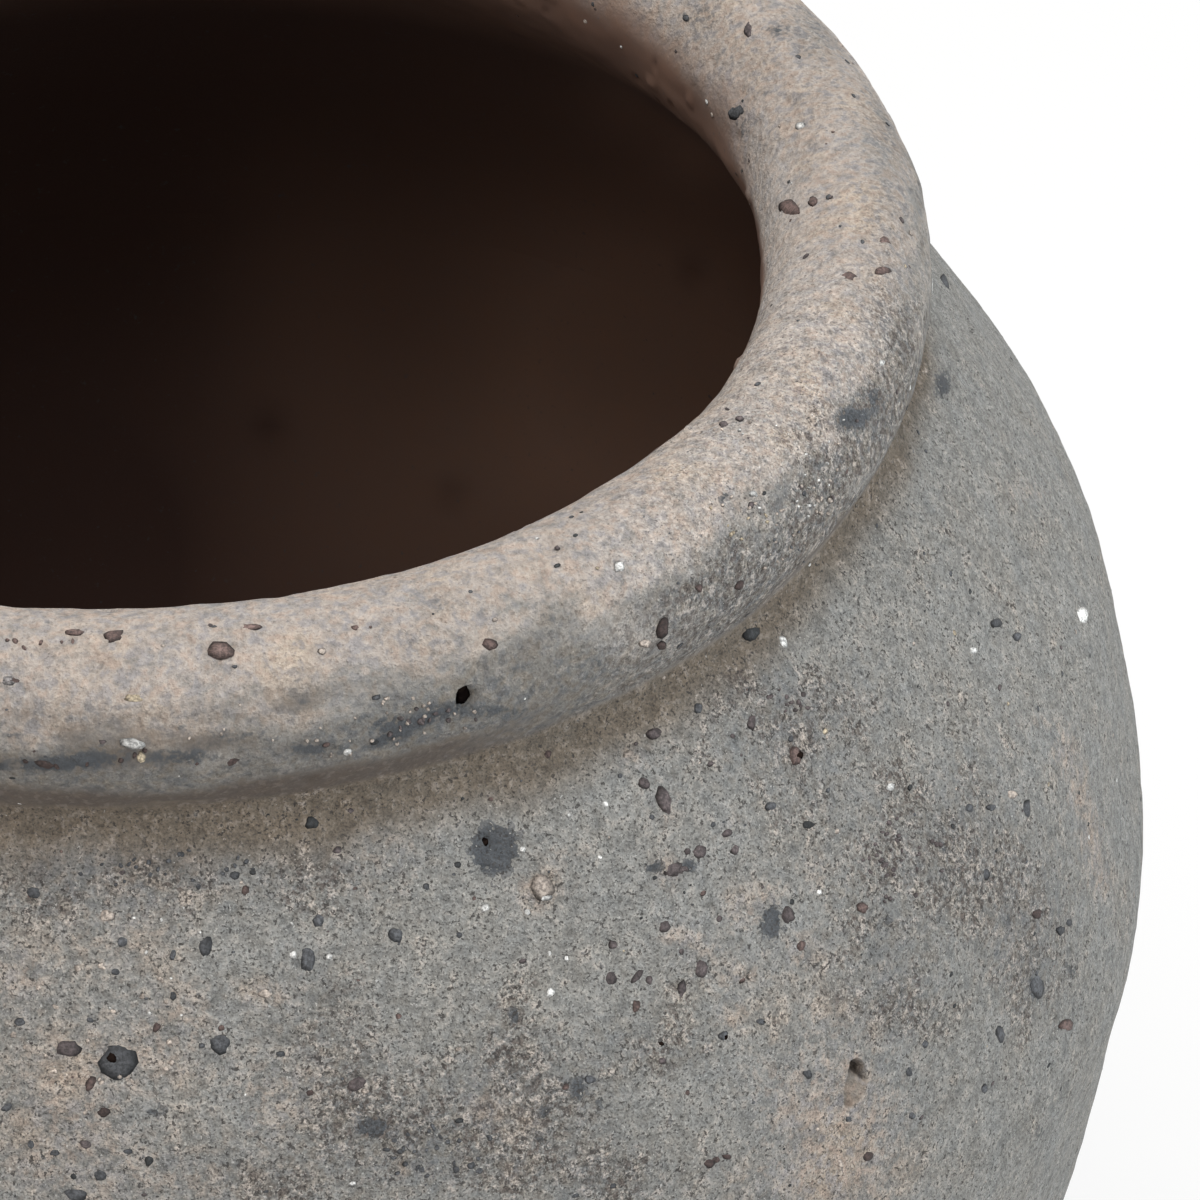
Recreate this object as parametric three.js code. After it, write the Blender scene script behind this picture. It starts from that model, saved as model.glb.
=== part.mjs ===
// A coil-built terracotta planter: a base slab, five courses of wall luted edge to edge,
// a fat roll of clay for a rim, and a rubber bung that stops the drain hole.
// Millimetres, +Z up. The origin is on the ground, under the middle of the foot.

import * as THREE from 'three';

// The pot's outline: it flares from the foot to the belly and closes again to the neck.
const FOOT_DIAMETER = 190;
const BELLY_DIAMETER = 300;
const BELLY_HEIGHT = 143;
const NECK_HEIGHT = 232.5;
const WALL = 12;

// The rim: a roll of clay, oval in section, pressed flat where it beds on the neck.
const MOUTH_DIAMETER = 176;
const ROLL_WIDTH = 24;
const ROLL_HEIGHT = 26.5;
const BED_WIDTH = 17;

// The base slab: its edge is pinched up to carry the wall, and it stands on a foot ring.
const BASE_THICKNESS = 14;
const FOOT_RING_WIDTH = 16;
const FOOT_RECESS = 3;
const FOOT_ROUND = 4;
const FLOOR_COVE = 10;

// The luted joints between courses: a bevel, with a skin of slip in the gap.
const JOINT_BEVEL = 7;
const SLIP_GAP = 0.4;

// The drain hole, wider above, and the rubber bung that is pushed into it from inside.
const HOLE_TOP_DIAMETER = 26;
const HOLE_BOTTOM_DIAMETER = 22;
const BUNG_CLEARANCE = 0.3;
const BUNG_TIP_GAP = 1.5;
const FLANGE_DIAMETER = 36;
const FLANGE_THICKNESS = 3.5;
const STEM_DIAMETER = 9;
const STEM_HEIGHT = 5;
const KNOB_DIAMETER = 15;
const KNOB_HEIGHT = 8;

// How finely the curves are stepped.
const POT_SIDES = 60;
const BUNG_SIDES = 40;
const COURSE_STEPS = 3;
const ROLL_STEPS = 22;
const ROUND_STEPS = 4;

const COURSE_NAMES = ['foot_course', 'lower_course', 'belly_course', 'shoulder_course', 'neck_course'];

const footRadius = FOOT_DIAMETER / 2;
const bellyRadius = BELLY_DIAMETER / 2;
const rollRadius = (MOUTH_DIAMETER + ROLL_WIDTH) / 2;
const neckRadius = rollRadius + BED_WIDTH / 2;
const courseHeight = (NECK_HEIGHT - BASE_THICKNESS) / COURSE_NAMES.length;

// Each height lies on one of two parabolas, which meet upright at the belly and end at the foot or the neck.
function parabola(z) {
  const end = z < BELLY_HEIGHT ? at(footRadius, 0) : at(neckRadius, NECK_HEIGHT);
  const bend = (bellyRadius - end.x) / (end.y - BELLY_HEIGHT) ** 2;
  const rise = z - BELLY_HEIGHT;
  return { radius: bellyRadius - bend * rise ** 2, slope: -2 * bend * rise };
}

function at(radius, z) {
  return new THREE.Vector2(radius, z);
}

// The outer face at a height.
function outside(z) {
  return at(parabola(z).radius, z);
}

// The inner face opposite that point: one wall thickness in, square to the outer face.
function inside(z) {
  const inward = new THREE.Vector2(-1, parabola(z).slope).normalize();
  return outside(z).addScaledVector(inward, WALL);
}

// Points of one face between two heights, both ends included.
function stretch(face, from, to) {
  const step = (to - from) / COURSE_STEPS;
  return Array.from({ length: COURSE_STEPS + 1 }, (_, i) => face(from + i * step));
}

// A rounded corner from one point to another, drawn towards the corner between them.
function rounded(from, corner, to) {
  return new THREE.QuadraticBezierCurve(from, corner, to).getPoints(ROUND_STEPS);
}

// A solid turned about the pot's axis. A profile runs up its outer side and down its inner one.
function turned(name, profile, sides, material) {
  const geometry = new THREE.LatheGeometry(profile, sides);
  geometry.rotateX(Math.PI / 2);
  const mesh = new THREE.Mesh(geometry, material);
  mesh.name = name;
  return mesh;
}

function ring(name, profile, material) {
  return turned(name, [...profile, profile[0]], POT_SIDES, material);
}

// The slab: foot ring and recess below, a pinched-up bevelled edge, a coved floor and the drain hole.
function baseSlab(material) {
  const footInner = footRadius - FOOT_ROUND - FOOT_RING_WIDTH;
  const edge = inside(BASE_THICKNESS);
  const edgeLean = parabola(BASE_THICKNESS).slope * (edge.y - BASE_THICKNESS);
  const coveCorner = at(edge.x - edgeLean, BASE_THICKNESS);
  const floorEdge = at(coveCorner.x - FLOOR_COVE, BASE_THICKNESS);
  const profile = [
    at(HOLE_BOTTOM_DIAMETER / 2, FOOT_RECESS),
    at(footInner - FOOT_RECESS, FOOT_RECESS),
    at(footInner, 0),
    ...rounded(at(footRadius - FOOT_ROUND, 0), at(footRadius, 0), outside(FOOT_ROUND)),
    outside(BASE_THICKNESS),
    ...rounded(edge, coveCorner, floorEdge),
    at(HOLE_TOP_DIAMETER / 2, BASE_THICKNESS),
  ];
  return ring('base_slab', profile, material);
}

// One course of wall. Its lower edge fits the bevel of the course below; the inner edge stands higher.
function wallCourse(index, material) {
  const bottom = BASE_THICKNESS + index * courseHeight + SLIP_GAP;
  const top = BASE_THICKNESS + (index + 1) * courseHeight;
  const bottomBevel = index === 0 ? 0 : JOINT_BEVEL;
  const isNeck = index === COURSE_NAMES.length - 1;
  const innerTop = isNeck ? top : top + JOINT_BEVEL;
  const innerFace = stretch(inside, innerTop, bottom + bottomBevel);
  const bed = isNeck ? neckBed(innerFace.shift()) : [];
  const profile = [...stretch(outside, bottom, top), ...bed, ...innerFace];
  return ring(COURSE_NAMES[index], profile, material);
}

// The top of the neck: a flat bed as wide as the roll's, rounded under into the inner face.
function neckBed(innerEnd) {
  const bedInner = at(neckRadius - BED_WIDTH, NECK_HEIGHT);
  return rounded(bedInner, at(bedInner.x, innerEnd.y), innerEnd);
}

// The rim roll: an oval with its underside pressed flat to the width of the bed.
function rimRoll(material) {
  const bedAngle = Math.acos(BED_WIDTH / ROLL_WIDTH);
  const bedDepth = (ROLL_HEIGHT / 2) * Math.sin(bedAngle);
  const centre = NECK_HEIGHT + SLIP_GAP + bedDepth;
  const oval = new THREE.EllipseCurve(
    rollRadius, centre, ROLL_WIDTH / 2, ROLL_HEIGHT / 2, -bedAngle, Math.PI + bedAngle,
  );
  return ring('rim_roll', oval.getPoints(ROLL_STEPS), material);
}

// The bung: a tapered plug in the hole, a flange on the floor, and a knob to pull it by.
function drainBung(material) {
  const flangeBottom = BASE_THICKNESS + BUNG_CLEARANCE;
  const flangeTop = flangeBottom + FLANGE_THICKNESS;
  const knobBottom = flangeTop + STEM_HEIGHT;
  const knobTop = knobBottom + KNOB_HEIGHT;
  const topRadius = HOLE_TOP_DIAMETER / 2 - BUNG_CLEARANCE;
  const bottomRadius = HOLE_BOTTOM_DIAMETER / 2 - BUNG_CLEARANCE;
  const tip = FOOT_RECESS + BUNG_TIP_GAP;
  const tipShare = BUNG_TIP_GAP / (BASE_THICKNESS - FOOT_RECESS);
  const tipRadius = bottomRadius + (topRadius - bottomRadius) * tipShare;
  const flangeRadius = FLANGE_DIAMETER / 2;
  const flangeLip = at(flangeRadius - FLANGE_THICKNESS / 2, flangeTop);
  const knobRadius = KNOB_DIAMETER / 2;
  const profile = [
    at(0, tip),
    at(tipRadius, tip),
    at(topRadius, BASE_THICKNESS),
    at(topRadius, flangeBottom),
    ...rounded(at(flangeRadius, flangeBottom), at(flangeRadius, flangeTop), flangeLip),
    at(STEM_DIAMETER / 2, flangeTop),
    at(STEM_DIAMETER / 2, knobBottom),
    at(knobRadius, knobBottom + KNOB_HEIGHT / 4),
    ...rounded(at(knobRadius, knobBottom + KNOB_HEIGHT / 2), at(knobRadius, knobTop), at(0, knobTop)),
  ];
  return turned('drain_bung', profile, BUNG_SIDES, material);
}

const clay = new THREE.MeshStandardMaterial({ color: 0x8a8479, roughness: 0.95, metalness: 0 });
const rimClay = new THREE.MeshStandardMaterial({ color: 0x9a8c80, roughness: 0.95, metalness: 0 });
const rubber = new THREE.MeshStandardMaterial({ color: 0x2b2a29, roughness: 0.7, metalness: 0 });

const pot = new THREE.Group();
pot.add(baseSlab(clay));
COURSE_NAMES.forEach((_, index) => pot.add(wallCourse(index, clay)));
pot.add(rimRoll(rimClay));

const planter = new THREE.Group();
planter.add(pot);
planter.add(drainBung(rubber));

export default planter;
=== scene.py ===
"""The looks of a coil-built terracotta planter. Metres, +Z up, the pot's axis is the Z axis."""

import bpy
import numpy as np
from mathutils import Matrix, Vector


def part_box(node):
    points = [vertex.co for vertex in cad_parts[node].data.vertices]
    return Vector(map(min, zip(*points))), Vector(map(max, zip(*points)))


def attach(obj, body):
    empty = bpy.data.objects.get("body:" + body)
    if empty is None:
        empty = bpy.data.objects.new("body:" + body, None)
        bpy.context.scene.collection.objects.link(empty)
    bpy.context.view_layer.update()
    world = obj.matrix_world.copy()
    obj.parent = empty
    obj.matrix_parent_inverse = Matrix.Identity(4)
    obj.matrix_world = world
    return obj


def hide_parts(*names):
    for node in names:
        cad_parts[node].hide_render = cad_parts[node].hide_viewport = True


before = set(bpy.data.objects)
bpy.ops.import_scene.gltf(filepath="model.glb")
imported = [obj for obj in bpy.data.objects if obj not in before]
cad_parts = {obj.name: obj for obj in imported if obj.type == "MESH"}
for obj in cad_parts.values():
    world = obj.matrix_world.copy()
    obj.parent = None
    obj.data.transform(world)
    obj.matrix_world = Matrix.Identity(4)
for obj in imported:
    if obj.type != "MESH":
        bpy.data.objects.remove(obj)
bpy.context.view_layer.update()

# The photograph's viewpoint. A long lens stands about 0.7 m off and looks down on the right front
# of the pot, so that the picture holds a part of the mouth, the rim and the shoulder.
PHOTO_SIDE = 1200
LENS_IN_PIXELS = 5200
SENSOR_MM = 36.0
CAMERA_PLACE = np.array([0.0, -0.6039, 0.6701])
CAMERA_YAW = np.radians(6.279)
CAMERA_PITCH = np.radians(39.206)
CAMERA_ROLL = np.radians(-1.406)


def camera_axes(yaw, pitch, roll):
    """Right, down and forward of a camera that is turned by yaw, dipped by pitch
    and then rolled about its own axis."""
    forward = np.array([np.sin(yaw) * np.cos(pitch), np.cos(yaw) * np.cos(pitch), -np.sin(pitch)])
    level = np.cross(forward, [0.0, 0.0, 1.0])
    level /= np.linalg.norm(level)
    plumb = np.cross(forward, level)
    right = np.cos(roll) * level + np.sin(roll) * plumb
    down = np.cos(roll) * plumb - np.sin(roll) * level
    return right, down, forward


camera_right, camera_down, camera_forward = camera_axes(CAMERA_YAW, CAMERA_PITCH, CAMERA_ROLL)
camera_data = bpy.data.cameras.new("camera")
camera_data.sensor_width = SENSOR_MM
camera_data.lens = SENSOR_MM * LENS_IN_PIXELS / PHOTO_SIDE
camera = bpy.data.objects.new("camera", camera_data)
camera_matrix = np.eye(4)
camera_matrix[:3, :3] = np.stack([camera_right, -camera_down, -camera_forward], axis=1)
camera_matrix[:3, 3] = CAMERA_PLACE
camera.matrix_world = Matrix(camera_matrix.tolist())
bpy.context.scene.collection.objects.link(camera)
bpy.context.scene.camera = camera


def photo_pixel(points):
    """Where points fall in the photograph: the offset from the camera over its depth,
    times the lens in pixels."""
    offset = points - CAMERA_PLACE
    depth = offset @ camera_forward
    across = PHOTO_SIDE / 2 + LENS_IN_PIXELS * (offset @ camera_right) / depth
    below = PHOTO_SIDE / 2 + LENS_IN_PIXELS * (offset @ camera_down) / depth
    return across, below


# The base slab: gritty clay beaten flat on a board, its edge pinched up to take the first strip of wall,
# with a foot ring round a shallow recess and a tapered drain hole through the middle. It is the first of the
# clay pieces, so what all of them share is worked out here: the section, the skin, the tones and the finish.

# The section: the potter wipes the joints between slab, strips and roll with wet fingers, so that one smooth
# skin runs over all of them. It is a closed loop, radius as the real part and height as the imaginary.
FOOT_RADIUS = 0.095
BELLY_RADIUS = 0.150
BELLY_HEIGHT = 0.143
NECK_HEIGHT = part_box("neck_course")[1].z
WALL = 0.012
ROLL_RADIUS = 0.100
ROLL_HALF_WIDTH = 0.012
ROLL_HALF_HEIGHT = 0.01325
BED_HALF_WIDTH = 0.0085
NECK_RADIUS = ROLL_RADIUS + BED_HALF_WIDTH
ROLL_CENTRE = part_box("rim_roll")[1].z - ROLL_HALF_HEIGHT
BASE_THICKNESS = 0.014
FOOT_ROUND = 0.004
FOOT_RING_INNER = 0.075
FOOT_RECESS = 0.003
HOLE_TOP_RADIUS = 0.013
HOLE_BOTTOM_RADIUS = 0.011
FLOOR_EDGE = 0.078
SECTION_STEP = 0.0002
WALL_POINTS = 1400
ROLL_POINTS = 500
WIPED_ROUND = 0.0013
CREASE_ROUND = 0.0019
CREASE_REACH = 0.007


def wall_outline(z):
    """Outer radius and slope at a height: two parabolas that meet upright at the belly."""
    low = z < BELLY_HEIGHT
    end_radius = np.where(low, FOOT_RADIUS, NECK_RADIUS)
    end_height = np.where(low, 0.0, NECK_HEIGHT)
    bend = (BELLY_RADIUS - end_radius) / (end_height - BELLY_HEIGHT) ** 2
    rise = z - BELLY_HEIGHT
    return BELLY_RADIUS - bend * rise**2, -2 * bend * rise


def line(start, end):
    """Points of a straight stretch of the section."""
    count = max(2, int(abs(end - start) / SECTION_STEP))
    return start + (end - start) * np.linspace(0, 1, count, endpoint=False)


def outer_wall():
    """The outer face from the foot to the neck."""
    z = np.linspace(FOOT_ROUND, NECK_HEIGHT, WALL_POINTS)
    return wall_outline(z)[0] + 1j * z


def inner_wall():
    """The inner face from the neck down to the floor: the outer one moved in, square to itself,
    by the wall."""
    z = np.linspace(NECK_HEIGHT, BASE_THICKNESS, WALL_POINTS)
    radius, slope = wall_outline(z)
    inward = (-1 + 1j * slope) / np.hypot(1, slope)
    return radius + 1j * z + WALL * inward


def roll_oval():
    """The rim's oval from its bed on the outer side over the top to its bed on the inner side."""
    bed = np.arccos(BED_HALF_WIDTH / ROLL_HALF_WIDTH)
    angle = np.linspace(-bed, np.pi + bed, ROLL_POINTS)
    radius = ROLL_RADIUS + ROLL_HALF_WIDTH * np.cos(angle)
    return radius + 1j * (ROLL_CENTRE + ROLL_HALF_HEIGHT * np.sin(angle))


def measured(path):
    """Distance along a path at each of its points."""
    return np.concatenate([[0.0], np.cumsum(np.abs(np.diff(path)))])


def softened(path, spread):
    """A closed path averaged along itself with a bell of that spread, done on its Fourier series."""
    wave = 2 * np.pi * np.fft.fftfreq(len(path), d=SECTION_STEP)
    return np.fft.ifft(np.fft.fft(path) * np.exp(-((wave * spread) ** 2) / 2))


hole_bottom = HOLE_BOTTOM_RADIUS + 1j * FOOT_RECESS
hole_top = HOLE_TOP_RADIUS + 1j * BASE_THICKNESS
recess_edge = FOOT_RING_INNER - FOOT_RECESS + 1j * FOOT_RECESS
stretches = {
    "underside": line(hole_bottom, recess_edge),
    "recess": line(recess_edge, FOOT_RING_INNER + 0j),
    "foot": line(FOOT_RING_INNER + 0j, FOOT_RADIUS - FOOT_ROUND + 0j),
    "outer": outer_wall(),
    "roll": roll_oval(),
    "inner": inner_wall(),
    "floor": line(FLOOR_EDGE + 1j * BASE_THICKNESS, hole_top),
    "hole": line(hole_top, hole_bottom),
}
rough_section = np.concatenate(list(stretches.values()) + [[hole_bottom]])
rough_length = measured(rough_section)
stretch_start = np.cumsum([0] + [len(path) for path in stretches.values()])
along = np.arange(0, rough_length[-1], SECTION_STEP)
even_radius = np.interp(along, rough_length, rough_section.real)
even_height = np.interp(along, rough_length, rough_section.imag)
section = even_radius + 1j * even_height


def place_on(name, height):
    """Distance along the section at which one stretch of it passes a height."""
    index = list(stretches).index(name)
    part = slice(stretch_start[index], stretch_start[index + 1])
    order = np.argsort(rough_section[part].imag)
    return np.interp(height, rough_section[part].imag[order], rough_length[part][order])


crease_place = place_on("outer", NECK_HEIGHT)
bed_place = rough_length[stretch_start[list(stretches).index("inner")]]
wiped = softened(section, WIPED_ROUND)
near_crease = np.exp(-(((along - crease_place) / CREASE_REACH) ** 2))
section = wiped + near_crease * (softened(section, CREASE_ROUND) - wiped)
section_normal = np.roll(section, -1) - np.roll(section, 1)
section_normal = -1j * section_normal / np.abs(section_normal)

# The skin: the wall swells where the strips were worked together, most on the right, and waves a little
# under the potter's hands. Places that the photograph shows pressed in or squeezed out are listed
# as across, down, half width, half height and amount.
course_names = ["foot_course", "lower_course", "belly_course", "shoulder_course", "neck_course"]
seam_heights = np.array([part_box(name)[0].z for name in course_names])
COURSE_HEIGHT = seam_heights[1] - seam_heights[0]
SEAM_SWELL = 0.0005
SWELL_ALL_ROUND = 0.65
SWELL_ON_RIGHT = 0.35
PLAIN_BELOW_NECK = 0.012
SWELL_FADE = 0.02
HAND_WAVES = [(0.090, 0.00050), (0.030, 0.00020), (0.011, 0.00010), (0.0045, 0.00013), (0.0022, 0.00009)]
RIM_RIDGES = 0.00016
RIDGE_FADE = 0.004
RIDGES_PAST_BED = 0.002
PLAIN_ABOVE_FOOT = 0.006
INSIDE_ROUGHNESS = 0.6
PRESSED_IN_PHOTO = [
    (1060, 430, 70, 110, -0.00055), (1112, 600, 70, 110, -0.00065), (1140, 770, 70, 110, -0.00090),
    (1135, 930, 70, 110, -0.00040), (1095, 1110, 70, 120, -0.00035), (160, 608, 110, 30, 0.00035),
    (530, 525, 50, 30, 0.00025), (764, 280, 40, 60, 0.00055), (705, 405, 40, 40, -0.00060),
    (920, 182, 30, 30, 0.00045),
]
ROUND_SIDES = 1152
OUTER_STEP = 0.00082
INNER_STEP = 0.0035
clay_dice = np.random.default_rng(7)


def lattice_noise(points, wavelength, seed):
    """Smooth random values from -1 to 1: hashed values on a cubic lattice, blended with eased weights."""
    scaled = points / wavelength
    cell = np.floor(scaled).astype(np.int64)
    share = scaled - cell
    share = share * share * (3 - 2 * share)
    total = np.zeros(points.shape[:-1])
    for corner in np.ndindex(2, 2, 2):
        at = (cell + corner).astype(np.uint32)
        mixed = at[..., 0] * np.uint32(73856093)
        mixed = mixed ^ at[..., 1] * np.uint32(19349663)
        mixed = mixed ^ at[..., 2] * np.uint32(83492791)
        mixed = (mixed ^ np.uint32(seed * 7919 + 17)) * np.uint32(2654435761)
        mixed = (mixed ^ (mixed >> np.uint32(15))) * np.uint32(2246822519)
        mixed = mixed ^ (mixed >> np.uint32(13))
        weight = np.prod(np.where(corner, share, 1 - share), axis=-1)
        total += weight * (mixed / 2.0**31 - 1)
    return total


def hand_made(points):
    """How far the clay stands off its drawn section: a cosine with a crest at each seam, the waves of
    several lengths and the pressed places, each a soft oval in the photograph."""
    seam_wave = np.cos(2 * np.pi * (points[..., 2] - seam_heights[0]) / COURSE_HEIGHT)
    in_wall = np.clip((NECK_HEIGHT - PLAIN_BELOW_NECK - points[..., 2]) / SWELL_FADE, 0, 1)
    to_right = points[..., 0] / np.hypot(points[..., 0], points[..., 1])
    height = SEAM_SWELL * seam_wave * in_wall * (SWELL_ALL_ROUND + SWELL_ON_RIGHT * to_right)
    for seed, (wavelength, amount) in enumerate(HAND_WAVES):
        height = height + amount * lattice_noise(points, wavelength, seed)
    across, below = photo_pixel(points)
    for x, y, wide, high, amount in PRESSED_IN_PHOTO:
        height = height + amount * np.exp(-(((across - x) / wide) ** 2) - ((below - y) / high) ** 2)
    return height


def turned_point(place, angle):
    """Point and outward normal of the drawn skin at a place along the section and an angle round the axis."""
    radius = np.interp(place, along, section.real)
    height = np.interp(place, along, section.imag)
    normal_out = np.interp(place, along, section_normal.real)
    normal_up = np.interp(place, along, section_normal.imag)
    cos, sin = np.cos(angle), np.sin(angle)
    point = np.stack([radius * cos, radius * sin, height + 0 * angle], axis=-1)
    normal = np.stack([normal_out * cos, normal_out * sin, normal_up + 0 * angle], axis=-1)
    return point, normal


def stations(start, end, step):
    """Places along the section from start to end, a step apart."""
    return np.linspace(start, end, max(2, int(round((end - start) / step)) + 1))


RAY_DEPTHS = np.linspace(0.45, 0.85, 4000)
MOUTH_SPACE = 0.08


def seen_in_photo(across, below):
    """Where the camera's rays through some pixels first meet the pot: place along the section, angle and
    depth. Each ray is stepped through and the first step inside the clay is taken."""
    ray = (
        (across[:, None] - PHOTO_SIDE / 2) / LENS_IN_PIXELS * camera_right
        + (below[:, None] - PHOTO_SIDE / 2) / LENS_IN_PIXELS * camera_down
        + camera_forward
    )
    point = CAMERA_PLACE + RAY_DEPTHS[None, :, None] * ray[:, None, :]
    radius = np.hypot(point[..., 0], point[..., 1])
    height = point[..., 2]
    in_wall = (height < NECK_HEIGHT) & (radius < wall_outline(height)[0]) & (radius > MOUTH_SPACE)
    oval = ((radius - ROLL_RADIUS) / ROLL_HALF_WIDTH) ** 2
    oval = oval + ((height - ROLL_CENTRE) / ROLL_HALF_HEIGHT) ** 2
    first = np.argmax(in_wall | (oval < 1), axis=1)
    row = np.arange(len(ray))
    met = radius[row, first] + 1j * height[row, first]
    shown = (along > place_on("outer", FOOT_ROUND)) & (along < bed_place)
    nearest = np.argmin(np.abs(met[:, None] - section[shown][None, :]), axis=1)
    angle = np.arctan2(point[row, first, 1], point[row, first, 0])
    return along[shown][nearest], angle, RAY_DEPTHS[first]


# Dents and lumps: burnt-out straw and lost grains leave pits, buried grit lifts the clay. The listed ones
# are across and down in the photograph, width and height there, and depth in metres, less than nothing for
# a lump. The rest lie at random.
DENTS_IN_PHOTO = np.array(
    [
        (467, 700, 20, 28, 0.0024),
        (857, 1083, 42, 70, 0.0036),
        (487, 842, 12, 12, 0.0008),
        (539, 889, 34, 32, -0.0006),
        (132, 742, 30, 16, -0.0004),
        (687, 428, 16, 12, -0.0007),
        (922, 186, 14, 12, -0.0006),
    ],
    dtype=float,
)
RANDOM_DENTS = 1500
RANDOM_LUMPS = 500
MOUTH_LUMPS = 90
SMALLEST_DENT = 0.0007
DENT_SPREAD = 0.0009
DENT_DEPTH = 0.35
LUMP_HEIGHT = 0.12
MOUTH_LUMP_SIZES = (0.0006, 0.0014)
MOUTH_LUMP_HEIGHT = 0.3
MOUTH_EDGE = (0.017, 0.028)
INNER_LIP = 0.012


def gathered_dents():
    """All dents as place, angle, half width round the pot, half height along the section and depth: the
    listed ones, loose ones at random and small lumps along the edge of the mouth."""
    place, angle, depth = seen_in_photo(DENTS_IN_PHOTO[:, 0], DENTS_IN_PHOTO[:, 1])
    scale = depth / LENS_IN_PIXELS
    wide, high, deep = DENTS_IN_PHOTO[:, 2:].T
    listed = np.stack([place, angle, wide * scale / 2, high * scale / 2, deep], axis=1)
    count = RANDOM_DENTS + RANDOM_LUMPS
    lowest, highest = place_on("outer", FOOT_ROUND), bed_place - INNER_LIP
    half = SMALLEST_DENT + DENT_SPREAD * clay_dice.random(count) ** 2
    sunk = np.where(np.arange(count) < RANDOM_DENTS, DENT_DEPTH, -LUMP_HEIGHT) * half
    loose = np.stack(
        [
            clay_dice.uniform(lowest, highest, count),
            clay_dice.uniform(-np.pi, np.pi, count),
            half * clay_dice.uniform(0.8, 1.5, count),
            half * clay_dice.uniform(0.7, 1.2, count),
            sunk,
        ],
        axis=1,
    )
    half = clay_dice.uniform(*MOUTH_LUMP_SIZES, MOUTH_LUMPS)
    edge = np.stack(
        [
            bed_place - clay_dice.uniform(*MOUTH_EDGE, MOUTH_LUMPS),
            clay_dice.uniform(-np.pi, np.pi, MOUTH_LUMPS),
            half * 1.3,
            half,
            -MOUTH_LUMP_HEIGHT * half,
        ],
        axis=1,
    )
    return np.concatenate([listed, loose, edge])


all_dents = gathered_dents()


def bowl(near):
    """Depth of a dent as a share: near is the squared distance from its middle over its half width.
    The floor is flat and the wall steep, a power of one and a half."""
    return np.clip(1.6 * (1 - near), 0, 1) ** 1.5


def dented(places, angles, radius):
    """Depth of the dents on a grid of places and angles, each a bowl of its own width, height and depth."""
    depth = np.zeros((len(places), len(angles)))
    for place, angle, half_width, half_height, deep in all_dents:
        rows = np.abs(places - place) < half_height
        turn = (angles - angle + np.pi) % (2 * np.pi) - np.pi
        columns = np.abs(turn) * radius < half_width
        if rows.any() and columns.any():
            across = (turn[columns] * radius / half_width)[None, :]
            up = ((places[rows] - place) / half_height)[:, None]
            depth[np.ix_(rows, columns)] += deep * bowl(across**2 + up**2)
    return depth


# The clay's tones, kept at each vertex: pinkish beige, charred and gritty, the wiped brown of the crease, and
# the brown inside; some of the charred, wiped and inside tones are painted shade and light, as noted below.
# Its
# marks are kept too: slate stains, sand, coloured chips and painted light on the rim. Patches that the
# photograph shows are listed as across, down, half width, half height and amount.
WARM_PATCHES = [
    (845, 1130, 60, 75, 0.95), (780, 1090, 40, 40, 0.35), (10, 975, 40, 40, 0.60),
    (150, 1050, 80, 45, 0.45), (60, 1090, 60, 60, 0.50), (70, 1160, 80, 50, 0.45), (150, 880, 80, 30, 0.30),
    (300, 1085, 50, 40, 0.35), (745, 908, 20, 22, 0.75), (775, 895, 16, 18, 0.50), (806, 950, 24, 20, 0.60),
    (830, 1010, 60, 40, 0.20), (700, 945, 22, 14, 0.50), (738, 975, 30, 16, 0.60), (672, 872, 22, 16, 0.60),
    (680, 935, 18, 14, 0.60), (735, 1015, 18, 16, 0.55), (730, 828, 18, 14, 0.40), (820, 870, 20, 20, 0.35),
    (795, 745, 16, 16, 0.50), (663, 806, 16, 20, 0.45), (634, 756, 16, 14, 0.60), (541, 890, 20, 18, 1.00),
    (560, 855, 24, 12, 0.25), (120, 935, 60, 40, 0.40), (390, 850, 40, 30, 0.35), (180, 1000, 40, 24, 0.35),
    (265, 995, 26, 14, 0.60), (490, 1110, 30, 30, 0.50), (1010, 930, 40, 60, 0.20),
    (200, 1178, 120, 34, 0.35), (270, 1108, 44, 40, 0.35), (60, 850, 90, 40, 0.30),
    (800, 1185, 80, 26, 0.50), (485, 1110, 14, 11, 0.80), (530, 1120, 13, 10, 0.80),
    (404, 1168, 11, 9, 0.80), (512, 1172, 12, 12, 0.80),
]
RUST_STREAK = [
    (1040, 722, 26, 8, 0.35), (1066, 752, 12, 22, 0.70), (1082, 795, 12, 26, 0.85),
    (1098, 838, 12, 28, 0.80), (1108, 880, 10, 26, 0.55), (1035, 490, 22, 10, 0.40),
]
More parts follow.
